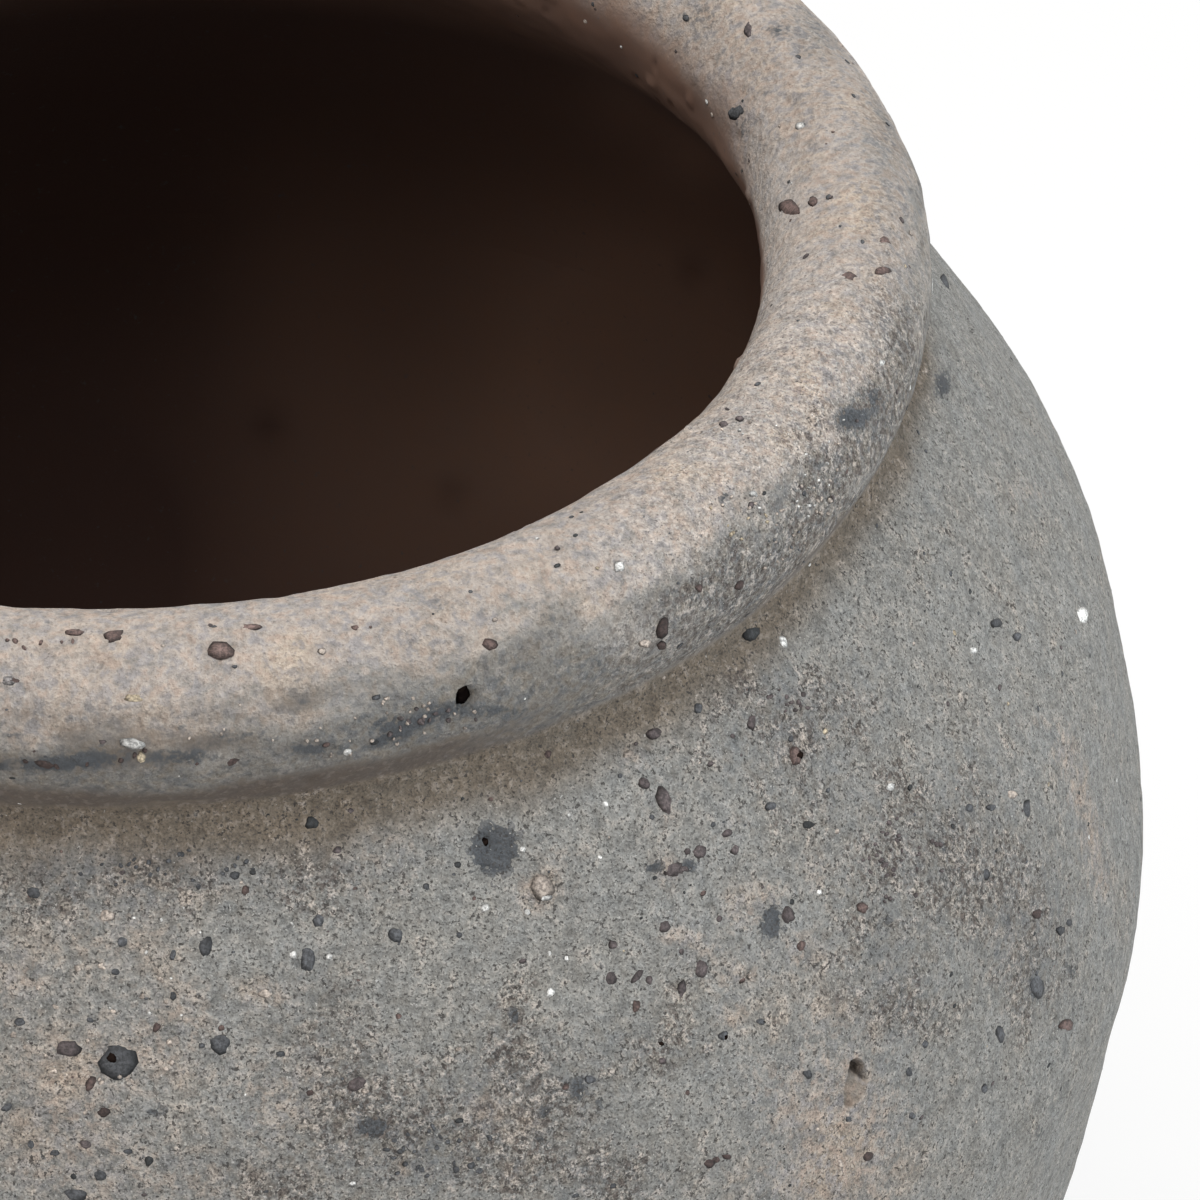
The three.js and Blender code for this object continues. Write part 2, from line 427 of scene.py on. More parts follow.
SLATE_STAINS = [
    (495, 849, 24, 25, 1.30), (654, 867, 14, 7, 0.80), (690, 866, 10, 8, 0.80), (774, 922, 12, 20, 0.90),
    (373, 1128, 18, 12, 0.90), (516, 1016, 8, 12, 0.75), (578, 1088, 10, 13, 0.80),
    (545, 1112, 10, 9, 0.70), (600, 1102, 14, 8, 0.50), (440, 1150, 50, 30, 0.30), (853, 418, 17, 11, 1.10),
    (876, 398, 12, 16, 0.60), (725, 497, 8, 6, 0.70), (548, 617, 9, 6, 0.60), (944, 383, 10, 15, 0.75),
    (1042, 988, 9, 16, 0.80), (40, 766, 40, 8, 0.80), (92, 760, 34, 9, 0.90), (180, 757, 40, 9, 0.80),
    (395, 726, 40, 14, 0.72), (315, 750, 40, 8, 0.75), (445, 712, 26, 12, 0.60), (500, 712, 40, 9, 0.60),
    (10, 735, 20, 8, 0.50), (235, 735, 50, 8, 0.50), (595, 664, 14, 9, 0.55), (565, 690, 24, 8, 0.40),
    (740, 128, 12, 12, 0.60), (778, 31, 16, 11, 0.60), (700, 20, 26, 24, 0.40), (430, 600, 26, 9, 0.35),
    (155, 1111, 12, 7, 0.60), (540, 1140, 10, 8, 0.60), (889, 919, 7, 9, 0.55), (942, 846, 12, 8, 0.60),
    (1009, 919, 8, 9, 0.55), (996, 955, 8, 8, 0.50), (1076, 971, 7, 10, 0.55), (1040, 1132, 6, 10, 0.55),
]
# Charred patches; the three in a band on the left just under the rim, at 880 to 890 down, are mostly painted
# shade under the rim's overhang.
CHARRED_AND_SHADED_PATCHES = [
    (430, 1140, 110, 66, 0.70), (345, 1105, 44, 40, 0.50), (870, 930, 60, 90, 0.42),
    (1010, 905, 50, 70, 0.28), (780, 700, 80, 40, 0.55), (660, 1045, 70, 36, 0.50),
    (560, 1090, 60, 40, 0.45), (508, 1060, 46, 36, 0.42), (720, 965, 40, 25, 0.35),
    (950, 850, 60, 60, 0.38), (1035, 985, 40, 50, 0.45), (905, 1005, 40, 40, 0.50), (40, 890, 60, 40, 0.42),
    (160, 880, 110, 36, 0.56), (320, 880, 60, 36, 0.45), (220, 1170, 90, 40, 0.38),
    (40, 1170, 60, 40, 0.20), (620, 1180, 60, 40, 0.50), (320, 1000, 60, 60, 0.35),
    (500, 1010, 40, 40, 0.20), (720, 760, 60, 30, 0.30), (800, 800, 50, 50, 0.30), (980, 760, 50, 60, 0.25),
    (930, 560, 40, 60, 0.15), (880, 790, 70, 60, 0.22), (950, 880, 70, 80, 0.18), (1050, 900, 40, 70, 0.25),
    (800, 742, 50, 36, 0.25), (870, 690, 40, 40, 0.20), (400, 870, 50, 40, 0.20), (350, 1050, 60, 40, 0.20),
    (290, 1190, 60, 30, 0.30), (560, 1165, 60, 40, 0.30),
]
RIM_WARM = [
    (335, 625, 60, 26, 0.20), (795, 250, 40, 110, 0.45), (790, 120, 60, 80, 0.25), (500, 690, 26, 20, 0.30),
    (420, 650, 30, 16, 0.30), (760, 70, 30, 40, 0.35), (180, 735, 40, 12, 0.40), (834, 443, 12, 15, 1.20),
    (425, 662, 14, 9, 0.60), (46, 732, 24, 14, 0.35), (282, 718, 22, 8, 0.35), (145, 766, 10, 8, 0.50),
]
# Charred patches on the rim; the negative one at 630 across is painted light, together with the paler rim
# patch there.
RIM_CHARRED = [
    (862, 414, 34, 30, 0.75), (834, 443, 12, 14, -0.90), (745, 600, 40, 46, 0.45), (570, 665, 50, 22, 0.15),
    (630, 632, 40, 30, -0.25), (450, 690, 80, 18, 0.26), (420, 636, 60, 20, 0.28), (40, 722, 60, 30, 0.20),
    (890, 120, 36, 90, 0.65), (820, 90, 30, 40, 0.25), (895, 240, 28, 60, 0.30), (890, 330, 28, 50, 0.70),
    (825, 25, 44, 34, 0.70), (815, 452, 36, 40, 0.55), (430, 600, 26, 14, 0.25), (560, 600, 30, 16, 0.15),
    (750, 100, 50, 80, 0.12), (700, 30, 40, 50, 0.25), (150, 718, 200, 15, 0.42), (480, 722, 70, 16, 0.85),
    (480, 600, 60, 20, 0.24), (874, 442, 26, 36, 0.40), (450, 735, 60, 20, 0.30), (110, 762, 80, 14, 0.45),
    (320, 690, 60, 14, 0.25),
]
# Painted light: patches that make the rim's right part paler, where light falls more brightly on it.
RIM_PAINTED_LIGHT = [
    (768, 190, 34, 60, 0.75), (785, 285, 36, 60, 0.75), (748, 385, 36, 40, 0.70), (690, 440, 40, 30, 0.40),
    (632, 634, 40, 24, 0.55),
]
# Painted light and shade inside the pot: the lit patch where light falls through the mouth on the far wall
# and at the far neck, and near black on the left where it lies in shade; the small negative ones are dark
# spots.
INSIDE_LIGHT_SHADE_AND_SPOTS = [
    (580, 330, 250, 240, 0.70), (670, 390, 150, 180, 0.76), (400, 540, 220, 120, 0.30),
    (300, 300, 90, 150, 0.24), (70, 545, 110, 80, -0.35), (635, 90, 50, 50, 0.35), (695, 150, 40, 40, 0.40),
    (690, 272, 18, 18, -0.35), (598, 396, 18, 16, -0.30), (452, 492, 18, 16, -0.25),
    (270, 425, 20, 20, -0.20),
]


def patch_tone(across, below, facing, patches):
    """Sum of soft oval patches laid on the surface as the photograph shows it, where it faces the camera."""
    tone = np.zeros_like(across)
    for x, y, wide, high, amount in patches:
        tone += amount * np.exp(-(((across - x) / wide) ** 2) - ((below - y) / high) ** 2)
    return tone * facing


def eased(low, high, value):
    """0 at low, 1 at high, a smooth step between."""
    share = np.clip((value - low) / (high - low), 0, 1)
    return share * share * (3 - 2 * share)


def rim_streaks(point, places):
    """Noise drawn out along the rim by wiping: the same lattice, met on a ring of a third of the size."""
    drawn = np.stack([point[..., 0] / 3, point[..., 1] / 3, places + 0 * point[..., 0]], axis=-1)
    return lattice_noise(drawn, 0.0040, 31) + 0.7 * lattice_noise(drawn, 0.0019, 32)


FRAME_FADE = 140
OUT_OF_SIGHT = (0.040, 0.074)


def clay_tones(point, normal, places):
    """The four tones and the four marks at each vertex. They follow from its place on the section, the listed
    patches and broad noise; lean is its angle round the roll's middle, nought outward and 90 on top."""
    # How far the photograph speaks for a place: full inside its frame, less and less beyond it, and not at
    # all for clay that faces away from it or lies out of sight inside the pot.
    across, below = photo_pixel(point)
    towards = CAMERA_PLACE - point
    towards = towards / np.linalg.norm(towards, axis=-1, keepdims=True)
    facing = eased(0.02, 0.20, np.sum(towards * normal, axis=-1))
    far_edge = PHOTO_SIDE + FRAME_FADE
    in_frame = eased(-FRAME_FADE, 0, across) * eased(-FRAME_FADE, 0, below)
    in_frame = in_frame * (1 - eased(PHOTO_SIDE, far_edge, across)) * (1 - eased(PHOTO_SIDE, far_edge, below))
    hidden = np.where(places > bed_place, 1 - eased(*OUT_OF_SIGHT, point[..., 2]), 0.0)
    in_view = facing * in_frame * (1 - hidden)
    # Noise for the patches that the photograph doesn't show, and for breaking up the ones that it does.
    far_warm = lattice_noise(point, 0.036, 41) + 0.6 * lattice_noise(point, 0.015, 42)
    far_char = lattice_noise(point, 0.044, 43) + 0.6 * lattice_noise(point, 0.017, 44)
    far_slate = lattice_noise(point, 0.016, 45) + 0.6 * lattice_noise(point, 0.007, 46)
    broad = lattice_noise(point, 0.055, 21) + 0.6 * lattice_noise(point, 0.024, 22)
    cloud = lattice_noise(point, 0.070, 23) + 0.6 * lattice_noise(point, 0.030, 24)
    fine = lattice_noise(point, 0.010, 25) + 0.6 * lattice_noise(point, 0.005, 26)
    streak = rim_streaks(point, places)
    out = np.hypot(point[..., 0], point[..., 1]) - ROLL_RADIUS
    lean = np.degrees(np.arctan2(point[..., 2] - ROLL_CENTRE, out))
    lean = np.where(lean < -90, lean + 360, lean)
    on_roll = eased(crease_place, crease_place + 0.003, places)
    # The wall.
    warm = 0.7 * eased(0.35, 1.1, far_warm) * (1 - in_view)
    warm = warm + patch_tone(across, below, in_view, WARM_PATCHES + RUST_STREAK)
    char = 0.7 * eased(0.10, 1.0, far_char) * (1 - in_view)
    # The listed charred patches, among them painted shade in a band under the rim on the left.
    char = char + patch_tone(across, below, in_view, CHARRED_AND_SHADED_PATCHES)
    # The roll: pinkish on top and charred on its outer side, in streaks along the rim.
    right_band = in_view * eased(600, 760, across) * eased(240, 420, below)
    turn = lean + 5 * fine + 7 * broad + 18 * streak - 11 * right_band
    roll_warm = 0.92 * eased(14, 54, turn) + patch_tone(across, below, in_view, RIM_WARM)
    roll_char = 0.86 * (1 - eased(4, 46, turn)) * (1 - 0.60 * eased(0.1, 0.9, streak))
    roll_char = roll_char + patch_tone(across, below, in_view, RIM_CHARRED)
    roll_warm = roll_warm * (1 - 0.25 * eased(0.2, 1.0, cloud) - 0.25 * eased(0.1, 0.9, streak))
    warm = warm * (1 - on_roll) + on_roll * roll_warm
    char = char * (1 - on_roll) + on_roll * roll_char
    # Wiped brown under the roll and on the neck, and khaki between the roll's streaks. Under the roll the
    # dark brown is partly the wiped clay's colour and partly painted shade where the roll faces down.
    wiped_and_shaded_underside = on_roll * (1 - eased(-26, -9, lean + 4 * fine + 4 * broad))
    wiped_and_shaded_underside = wiped_and_shaded_underside * (1 - in_view * eased(420, 600, across))
    below_crease = crease_place - places - 0.0030 * in_view * (1 - eased(300, 620, across))
    wiped_neck = (1 - on_roll) * (1 - eased(0.0012, 0.0085, below_crease + 0.0016 * fine + 0.0012 * broad))
    khaki = on_roll * eased(-10, 8, lean) * (1 - eased(30, 48, lean))
    khaki = khaki * eased(0.0, 0.9, 0.6 * broad - streak)
    wiped = wiped_and_shaded_underside + wiped_neck + 0.7 * khaki
    # The inside: near black deep in and brown towards the lip, partly the clay's colour and partly painted
    # light; the listed patches paint the light that falls through the mouth on the far wall and the far neck,
    # the shade on the left, and a few dark spots.
    bare_lip = in_view * eased(620, 720, across) * eased(90, 170, below)
    inside = on_roll * eased(128, 172, lean + 8 * fine + 8 * broad - 34 * bare_lip)
    inside = np.where(places > bed_place - INNER_LIP, 1.0, inside)
    lip = 1 - eased(bed_place - 0.006, bed_place + 0.022, places + 0.002 * fine)
    brown = patch_tone(across, below, in_view, INSIDE_LIGHT_SHADE_AND_SPOTS) + 0.25 * (1 - in_view)
    brown = np.maximum(brown, lip * (0.55 + 0.25 * fine))
    warm = warm * (1 - inside) + inside * brown
    char = char * (1 - inside)
    # The marks.
    band = on_roll * eased(-14, 2, lean) * (1 - eased(28, 44, lean))
    slate = 0.80 * band * eased(0.35, 0.90, -streak) * (1 - 0.7 * in_view * eased(470, 560, across))
    slate = slate + patch_tone(across, below, in_view, SLATE_STAINS)
    slate = slate + 0.7 * eased(0.65, 1.15, far_slate) * (1 - in_view)
    sharp_side = eased(540, 740, across) * (0.05 + 0.95 * eased(180, 380, below))
    sandy_roll = 0.30 + 0.65 * np.where(in_view > 0.5, sharp_side, eased(-0.6, 0.8, broad))
    sandy = 1 - on_roll * (1 - sandy_roll)
    # Painted light: paler patches on the rim's right part, standing in for brighter light there.
    painted_light = on_roll * (1 - inside) * patch_tone(across, below, in_view, RIM_PAINTED_LIGHT)
    marks = np.stack([slate * (1 - inside), sandy + 0 * slate, on_roll * sandy_roll, painted_light], axis=-1)
    return np.clip(np.stack([warm, char, wiped, inside], axis=-1), 0, 1), marks


def paint_clay(mesh, tones, marks):
    """Keeps the tones and marks at the vertices for the clay's material to read."""
    for name, values in (("tone", tones), ("marks", marks)):
        attribute = mesh.attributes.new(name, "FLOAT_COLOR", "POINT")
        attribute.data.foreach_set("color", values.astype(np.float32).ravel())


def new_piece(name, points, faces):
    """An object of smooth faces from an array of points and one of each face's corners."""
    mesh = bpy.data.meshes.new(name)
    mesh.vertices.add(len(points))
    mesh.vertices.foreach_set("co", points.astype(np.float32).ravel())
    mesh.loops.add(faces.size)
    mesh.loops.foreach_set("vertex_index", faces.astype(np.int32).ravel())
    mesh.polygons.add(len(faces))
    mesh.polygons.foreach_set("loop_start", np.arange(0, faces.size, faces.shape[1], dtype=np.int32))
    mesh.update(calc_edges=True)
    mesh.polygons.foreach_set("use_smooth", np.ones(len(faces), dtype=bool))
    piece = bpy.data.objects.new(name, mesh)
    bpy.context.scene.collection.objects.link(piece)
    return piece


def clay_ring(name, outer_places, inner_places):
    """One turned piece: a loop of places along the section swept round the axis, and its skin moved
    along the normals by the hand-made waves, the dents and the rim's fine ridges."""
    places = np.concatenate([outer_places, inner_places])
    angles = np.arange(ROUND_SIDES) * 2 * np.pi / ROUND_SIDES
    point, normal = turned_point(places[:, None], angles[None, :])
    roughness = np.where(places < bed_place, 1.0, INSIDE_ROUGHNESS)
    roughness *= eased(0, PLAIN_ABOVE_FOOT, places - place_on("outer", FOOT_ROUND))
    radius = np.interp(places.mean(), along, section.real)
    off = hand_made(point) * roughness[:, None] - dented(places, angles, radius)
    on_rim = eased(crease_place, crease_place + RIDGE_FADE, places)
    on_rim = on_rim * eased(bed_place + RIDGES_PAST_BED, bed_place - RIDGE_FADE, places)
    off += RIM_RIDGES * on_rim[:, None] * rim_streaks(point, places[:, None])
    moved = point + normal * off[..., None]
    rows, columns = off.shape
    corner = np.arange(rows * columns).reshape(rows, columns)
    above = np.roll(corner, -1, axis=0)
    faces = np.stack(
        [corner, np.roll(corner, -1, axis=1), np.roll(above, -1, axis=1), above], axis=-1
    ).reshape(-1, 4)
    piece = new_piece(name, moved.reshape(-1, 3), faces)
    paint_clay(piece.data, *clay_tones(point, normal, places[:, None]))
    mark_joints(piece.data, rows, columns, len(outer_places))
    return piece


def mark_joints(mesh, rows, columns, outer_count):
    """Makes the rings where the skin turns into a joint face sharp, so that the skin shades smoothly
    up to them."""
    ends = {0, outer_count - 1, outer_count % rows, rows - 1}
    vertex_row = np.arange(rows * columns) // columns
    edge = np.zeros(len(mesh.edges) * 2, dtype=np.int32)
    mesh.edges.foreach_get("vertices", edge)
    first, second = vertex_row[edge.reshape(-1, 2)].T
    sharp = (first == second) & np.isin(first, list(ends))
    attribute = mesh.attributes.new("sharp_edge", "BOOLEAN", "EDGE")
    attribute.data.foreach_set("value", sharp)


# The finish: grey clay fired with the grit in it. Sand shows as pale and dark grains a little under a
# millimetre across, with pores between them. Colours are linear red, green, blue and 1.
CLAY_COLOURS = {
    "rosy": (0.420, 0.335, 0.285, 1),
    "lilac": (0.300, 0.282, 0.284, 1),
    "charred brown": (0.210, 0.188, 0.160, 1),
    "charred blue": (0.128, 0.132, 0.138, 1),
    "wiped brown": (0.172, 0.138, 0.104, 1),
    "wiped char": (0.106, 0.085, 0.072, 1),
    "depths": (0.062, 0.034, 0.027, 1),
    "lip": (0.245, 0.147, 0.106, 1),
    "painted_light": (0.530, 0.490, 0.458, 1),
    "dark bits": (0.126, 0.107, 0.098, 1),
    "pale bits": (0.390, 0.350, 0.320, 1),
    "pale chips": (0.590, 0.525, 0.480, 1),
    "dark chips": (0.230, 0.200, 0.200, 1),
    "slate": (0.080, 0.085, 0.092, 1),
    "pores": (0.055, 0.050, 0.048, 1),
    "fine pores": (0.075, 0.070, 0.066, 1),
    "pale grains": (0.540, 0.520, 0.490, 1),
}


def new_finish(name):
    """A new material, its node tree and its shader."""
    material = bpy.data.materials.new(name)
    material.use_nodes = True
    return material, material.node_tree, material.node_tree.nodes["Principled BSDF"]


def put(tree, kind, inputs, **settings):
    """Adds a node with settings, and links or sets its inputs by name or number."""
    node = tree.nodes.new(kind)
    for key, value in settings.items():
        setattr(node, key, value)
    for key, value in inputs.items():
        if isinstance(value, bpy.types.NodeSocket):
            tree.links.new(value, node.inputs[key])
        else:
            node.inputs[key].default_value = value
    return node


def maths(tree, operation, first, second):
    """One operation on two values."""
    return put(tree, "ShaderNodeMath", {0: first, 1: second}, operation=operation).outputs[0]


def times(tree, first, second):
    """The product of two values."""
    return maths(tree, "MULTIPLY", first, second)


def weighed(tree, total, *terms):
    """A value plus other values, each times its weight."""
    for value, weight in terms:
        total = maths(tree, "ADD", total, times(tree, value, weight))
    return total


def ramp(tree, value, low, high, start=0.0, end=1.0):
    """A smooth step of the value from start at low to end at high."""
    inputs = {"Value": value, "From Min": low, "From Max": high, "To Min": start, "To Max": end}
    return put(tree, "ShaderNodeMapRange", inputs, interpolation_type="SMOOTHSTEP").outputs["Result"]


def coat(tree, share, under, over, how="MIX"):
    """One colour over another by a share."""
    inputs = {0: share, 6: under, 7: over}
    return put(tree, "ShaderNodeMix", inputs, data_type="RGBA", blend_type=how).outputs[2]


def in_mm(tree):
    """The object's own coordinates in millimetres."""
    metres = put(tree, "ShaderNodeTexCoord", {}).outputs["Object"]
    return put(tree, "ShaderNodeVectorMath", {0: metres, "Scale": 1000.0}, operation="SCALE").outputs[0]


def grainy(tree, place, per_mm, detail, rough, shift):
    """Fractal noise of that many lumps a millimetre, moved aside by a shift so that no two are alike."""
    offset = (shift, 2 * shift, -shift)
    moved = put(tree, "ShaderNodeVectorMath", {0: place, 1: offset}, operation="ADD").outputs[0]
    inputs = {"Vector": moved, "Scale": per_mm, "Detail": detail, "Roughness": rough}
    return put(tree, "ShaderNodeTexNoise", inputs).outputs["Fac"]


def centred(tree, place, per_mm, detail, rough, shift):
    """The same noise less its mean of a half."""
    return maths(tree, "SUBTRACT", grainy(tree, place, per_mm, detail, rough, shift), 0.5)


def clay_finish(name, grey, beige, cream, soot):
    """Fired gritty clay. Soft lumps of noise carry the grey body over to beige, cream and soot as the tones
    ask. Where the clay is gritty a finer noise breaks it into brown and pale bits, and single pores and pale
    grains lie where a noise peaks. The skin is sandy on the bare wall and less so on the wiped rim."""
    material, tree, body = new_finish(name)
    place = in_mm(tree)
    tones = put(tree, "ShaderNodeAttribute", {}, attribute_name="tone")
    warm, char, wiped = put(tree, "ShaderNodeSeparateColor", {0: tones.outputs["Color"]}).outputs
    marks = put(tree, "ShaderNodeAttribute", {}, attribute_name="marks")
    slate, sandy, chippy = put(tree, "ShaderNodeSeparateColor", {0: marks.outputs["Color"]}).outputs
    painted_light = marks.outputs["Alpha"]
    inside = tones.outputs["Alpha"]
    outside = maths(tree, "SUBTRACT", 1.0, inside)
    smooth = times(tree, wiped, ramp(tree, chippy, 0.0, 0.25))
    rough_skin = times(tree, outside, ramp(tree, smooth, 0.1, 0.7, 1.0, 0.45))

    # Noise of every size, from clouds of 9 mm to sand of 0.3 mm.
    cloud = centred(tree, place, 0.11, 3.0, 0.55, 61.0)
    mottle = centred(tree, place, 0.36, 4.0, 0.62, 11.0)
    lumps = centred(tree, place, 0.95, 2.0, 0.50, 83.0)
    tint = centred(tree, place, 0.62, 2.0, 0.50, 97.0)
    bits = centred(tree, place, 1.10, 3.0, 0.62, 29.0)
    chips = grainy(tree, place, 1.55, 1.0, 0.50, 43.0)
    sand = centred(tree, place, 3.30, 2.0, 0.60, 23.0)
    pore_noise = grainy(tree, place, 1.70, 3.0, 0.60, 37.0)
    fine_noise = grainy(tree, place, 2.90, 1.0, 0.50, 71.0)
    pale_noise = grainy(tree, place, 2.10, 2.0, 0.50, 51.0)

    # The tones over the grey body, one coat after another.
    stain = weighed(tree, warm, (mottle, 1.5), (lumps, 0.9), (cloud, 0.8), (sand, 0.6))
    colour = coat(tree, ramp(tree, stain, 0.10, 1.0), grey, beige)
    colour = coat(tree, times(tree, ramp(tree, cloud, 0.03, 0.18), warm), colour, cream)
    rosy = ramp(tree, tint, 0.02, 0.13, 0.0, 0.7)
    lilac = ramp(tree, tint, -0.02, -0.13, 0.0, 0.7)
    colour = coat(tree, times(tree, rosy, warm), colour, CLAY_COLOURS["rosy"])
    colour = coat(tree, times(tree, lilac, warm), colour, CLAY_COLOURS["lilac"])
    uneven = weighed(tree, times(tree, mottle, 2.2), (lumps, 1.5))
    burnt = weighed(tree, char, (times(tree, uneven, maths(tree, "ADD", char, 0.3)), 1.0))
    colour = coat(tree, ramp(tree, burnt, 0.10, 1.15, 0.0, 0.80), colour, soot)
    colour = coat(tree, times(tree, rosy, char), colour, CLAY_COLOURS["charred brown"])
    colour = coat(tree, times(tree, lilac, char), colour, CLAY_COLOURS["charred blue"])
    charred = ramp(tree, char, 0.1, 0.6)
    # Wiped brown, darker where charred; under the roll it is partly painted shade.
    clean_brown = coat(tree, charred, CLAY_COLOURS["wiped brown"], CLAY_COLOURS["wiped char"])
    colour = coat(tree, times(tree, wiped, 0.90), colour, clean_brown)
    # Inside, painted light and shade: near black in the depths, brown at the lip and in the lit patches.
    depths = coat(tree, warm, CLAY_COLOURS["depths"], CLAY_COLOURS["lip"])
    colour = coat(tree, inside, colour, depths)
    # Painted light on the rim's right part.
    colour = coat(tree, times(tree, painted_light, 0.55), colour, CLAY_COLOURS["painted_light"])

    # Brown and pale bits where the clay is gritty, and chips on the rim.
    sandy_skin = times(tree, rough_skin, sandy)
    gritty = ramp(tree, weighed(tree, char, (mottle, 1.6), (cloud, 2.0)), 0.05, 0.9)
    dark_share = times(tree, ramp(tree, gritty, 0.0, 1.0, 0.12, 0.92), sandy_skin)
    network = weighed(tree, times(tree, bits, 0.60), (lumps, 0.85), (mottle, 0.35))
    dark_bits = times(tree, ramp(tree, network, -0.015, -0.10), dark_share)
    colour = coat(tree, dark_bits, colour, CLAY_COLOURS["dark bits"])
    pale_share = times(tree, ramp(tree, gritty, 0.0, 1.0, 0.20, 0.80), sandy_skin)
    pale_bits = times(tree, ramp(tree, network, 0.04, 0.15), pale_share)
    colour = coat(tree, pale_bits, colour, CLAY_COLOURS["pale bits"])
    chip_share = times(tree, times(tree, chippy, outside), ramp(tree, warm, 0.1, 0.9, 0.10, 0.70))
    pale_chips = times(tree, ramp(tree, chips, 0.54, 0.66), chip_share)
    colour = coat(tree, pale_chips, colour, CLAY_COLOURS["pale chips"])
    dark_chips = times(tree, ramp(tree, chips, 0.40, 0.30), chip_share)
    colour = coat(tree, dark_chips, colour, CLAY_COLOURS["dark chips"])

    # Slate stains, sharp on the bare wall and soft on the wiped rim.
    stain_start = ramp(tree, sandy, 0.3, 0.9, 0.26, 0.36)
    stain_full = ramp(tree, sandy, 0.3, 0.9, 0.66, 0.48)
    stained = ramp(tree, weighed(tree, slate, (lumps, 1.6), (mottle, 0.9)), stain_start, stain_full)
    stained = times(tree, stained, ramp(tree, slate, 0.3, 0.65, 0.70, 1.0))
    colour = coat(tree, stained, colour, CLAY_COLOURS["slate"])

    # The sand's own light and dark.
    coarse = times(tree, ramp(tree, gritty, 0.0, 1.0, 1.3, 2.6), sandy)
    mottle_share = ramp(tree, sandy, 0.2, 1.0, 0.7, 1.2)
    light = weighed(tree, times(tree, sand, coarse), (lumps, 0.8))
    light = maths(tree, "ADD", light, times(tree, mottle, mottle_share))
    light = maths(tree, "ADD", times(tree, light, rough_skin), 1.0)
    shade = put(tree, "ShaderNodeCombineColor", {0: light, 1: light, 2: light}).outputs[0]
    colour = coat(tree, 1.0, colour, shade, "MULTIPLY")

    # Pores, fine pores and pale grains, and a drift of the hue from warm to cold.
    pore_level = weighed(tree, pore_noise, (gritty, 0.035), (warm, -0.02), (chippy, -0.05))
    pore_level = weighed(tree, pore_level, (wiped, -0.015), (mottle, 0.20))
    pores = times(tree, ramp(tree, pore_level, 0.606, 0.648), sandy_skin)
    colour = coat(tree, times(tree, pores, 0.85), colour, CLAY_COLOURS["pores"])
    fine_level = weighed(tree, fine_noise, (gritty, 0.03), (chippy, -0.04), (lumps, 0.20))
    fine_pores = times(tree, ramp(tree, fine_level, 0.610, 0.655), sandy_skin)
    colour = coat(tree, times(tree, fine_pores, 0.60), colour, CLAY_COLOURS["fine pores"])
    pale_level = weighed(tree, pale_noise, (wiped, -0.08), (slate, -0.05), (times(tree, warm, chippy), 0.05))
    pale = times(tree, ramp(tree, pale_level, 0.650, 0.700), sandy_skin)
    colour = coat(tree, times(tree, pale, 0.65), colour, CLAY_COLOURS["pale grains"])
    hue = weighed(tree, times(tree, tint, 0.9), (mottle, 0.6), (cloud, 1.4))
    warmer = maths(tree, "ADD", times(tree, hue, 0.07), 1.0)
    colder = maths(tree, "SUBTRACT", 1.0, times(tree, hue, 0.08))
    hue_shade = put(tree, "ShaderNodeCombineColor", {0: warmer, 1: 1.0, 2: colder}).outputs[0]
    colour = coat(tree, 1.0, colour, hue_shade, "MULTIPLY")
    tree.links.new(colour, body.inputs["Base Color"])

    # Relief and shine.
    height = times(tree, mottle, 0.6)
    height = weighed(tree, height, (lumps, 0.6), (sand, 0.20))
    rough_bits = weighed(tree, bits, (chips, 0.6))
    rough_bits = times(tree, rough_bits, maths(tree, "ADD", times(tree, warm, 0.5), 0.3))
    height = weighed(tree, height, (times(tree, rough_bits, sandy), 1.0))
    height = weighed(tree, height, (pores, -0.20), (fine_pores, -0.08), (pale, 0.05))
    height = times(tree, height, rough_skin)
    bump = put(tree, "ShaderNodeBump", {"Strength": 0.85, "Distance": 0.001, "Height": height})
    tree.links.new(bump.outputs[0], body.inputs["Normal"])
    tree.links.new(ramp(tree, sand, -0.2, 0.2, 0.84, 0.97), body.inputs["Roughness"])
    body.inputs["Specular IOR Level"].default_value = 0.3
    return material


body_clay = clay_finish(
    "body_clay",
    grey=(0.264, 0.260, 0.246, 1),
    beige=(0.352, 0.310, 0.274, 1),
    cream=(0.372, 0.316, 0.262, 1),
    soot=(0.154, 0.145, 0.137, 1),
)
rim_clay = clay_finish(
    "rim_clay",
    grey=(0.305, 0.288, 0.266, 1),
    beige=(0.390, 0.342, 0.308, 1),
    cream=(0.450, 0.384, 0.325, 1),
    soot=(0.158, 0.156, 0.148, 1),
)


def finish_clay(piece, node, material):
    """Gives a clay piece its material and puts it in its node's place on the pot."""
    piece.data.materials.append(material)
    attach(piece, "pot")
    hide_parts(node)


# The slab itself: coarse below and on the floor, fine where its edge shows beside the foot. The joint faces
# between slab, courses and roll slope, and start at these places of the outer and the inner face.
BEVEL = 0.007
SLAB_BEVEL = 0.0075
SLAB_STEP = 0.003
SLAB_EDGE = 0.02
outer_seams = np.append(place_on("outer", seam_heights), crease_place)
inner_seams = np.append(place_on("inner", seam_heights + SLAB_BEVEL), bed_place)
inner_seams[1:-1] = place_on("inner", seam_heights[1:] + BEVEL)
edge_start = outer_seams[0] - SLAB_EDGE
slab_below = stations(0, edge_start, SLAB_STEP)[:-1]
slab_edge = stations(edge_start, outer_seams[0], OUTER_STEP)
slab_floor = stations(inner_seams[0], along[-1], SLAB_STEP)
slab = clay_ring("base_slab_clay", np.concatenate([slab_below, slab_edge]), slab_floor)
finish_clay(slab, "base_slab", body_clay)

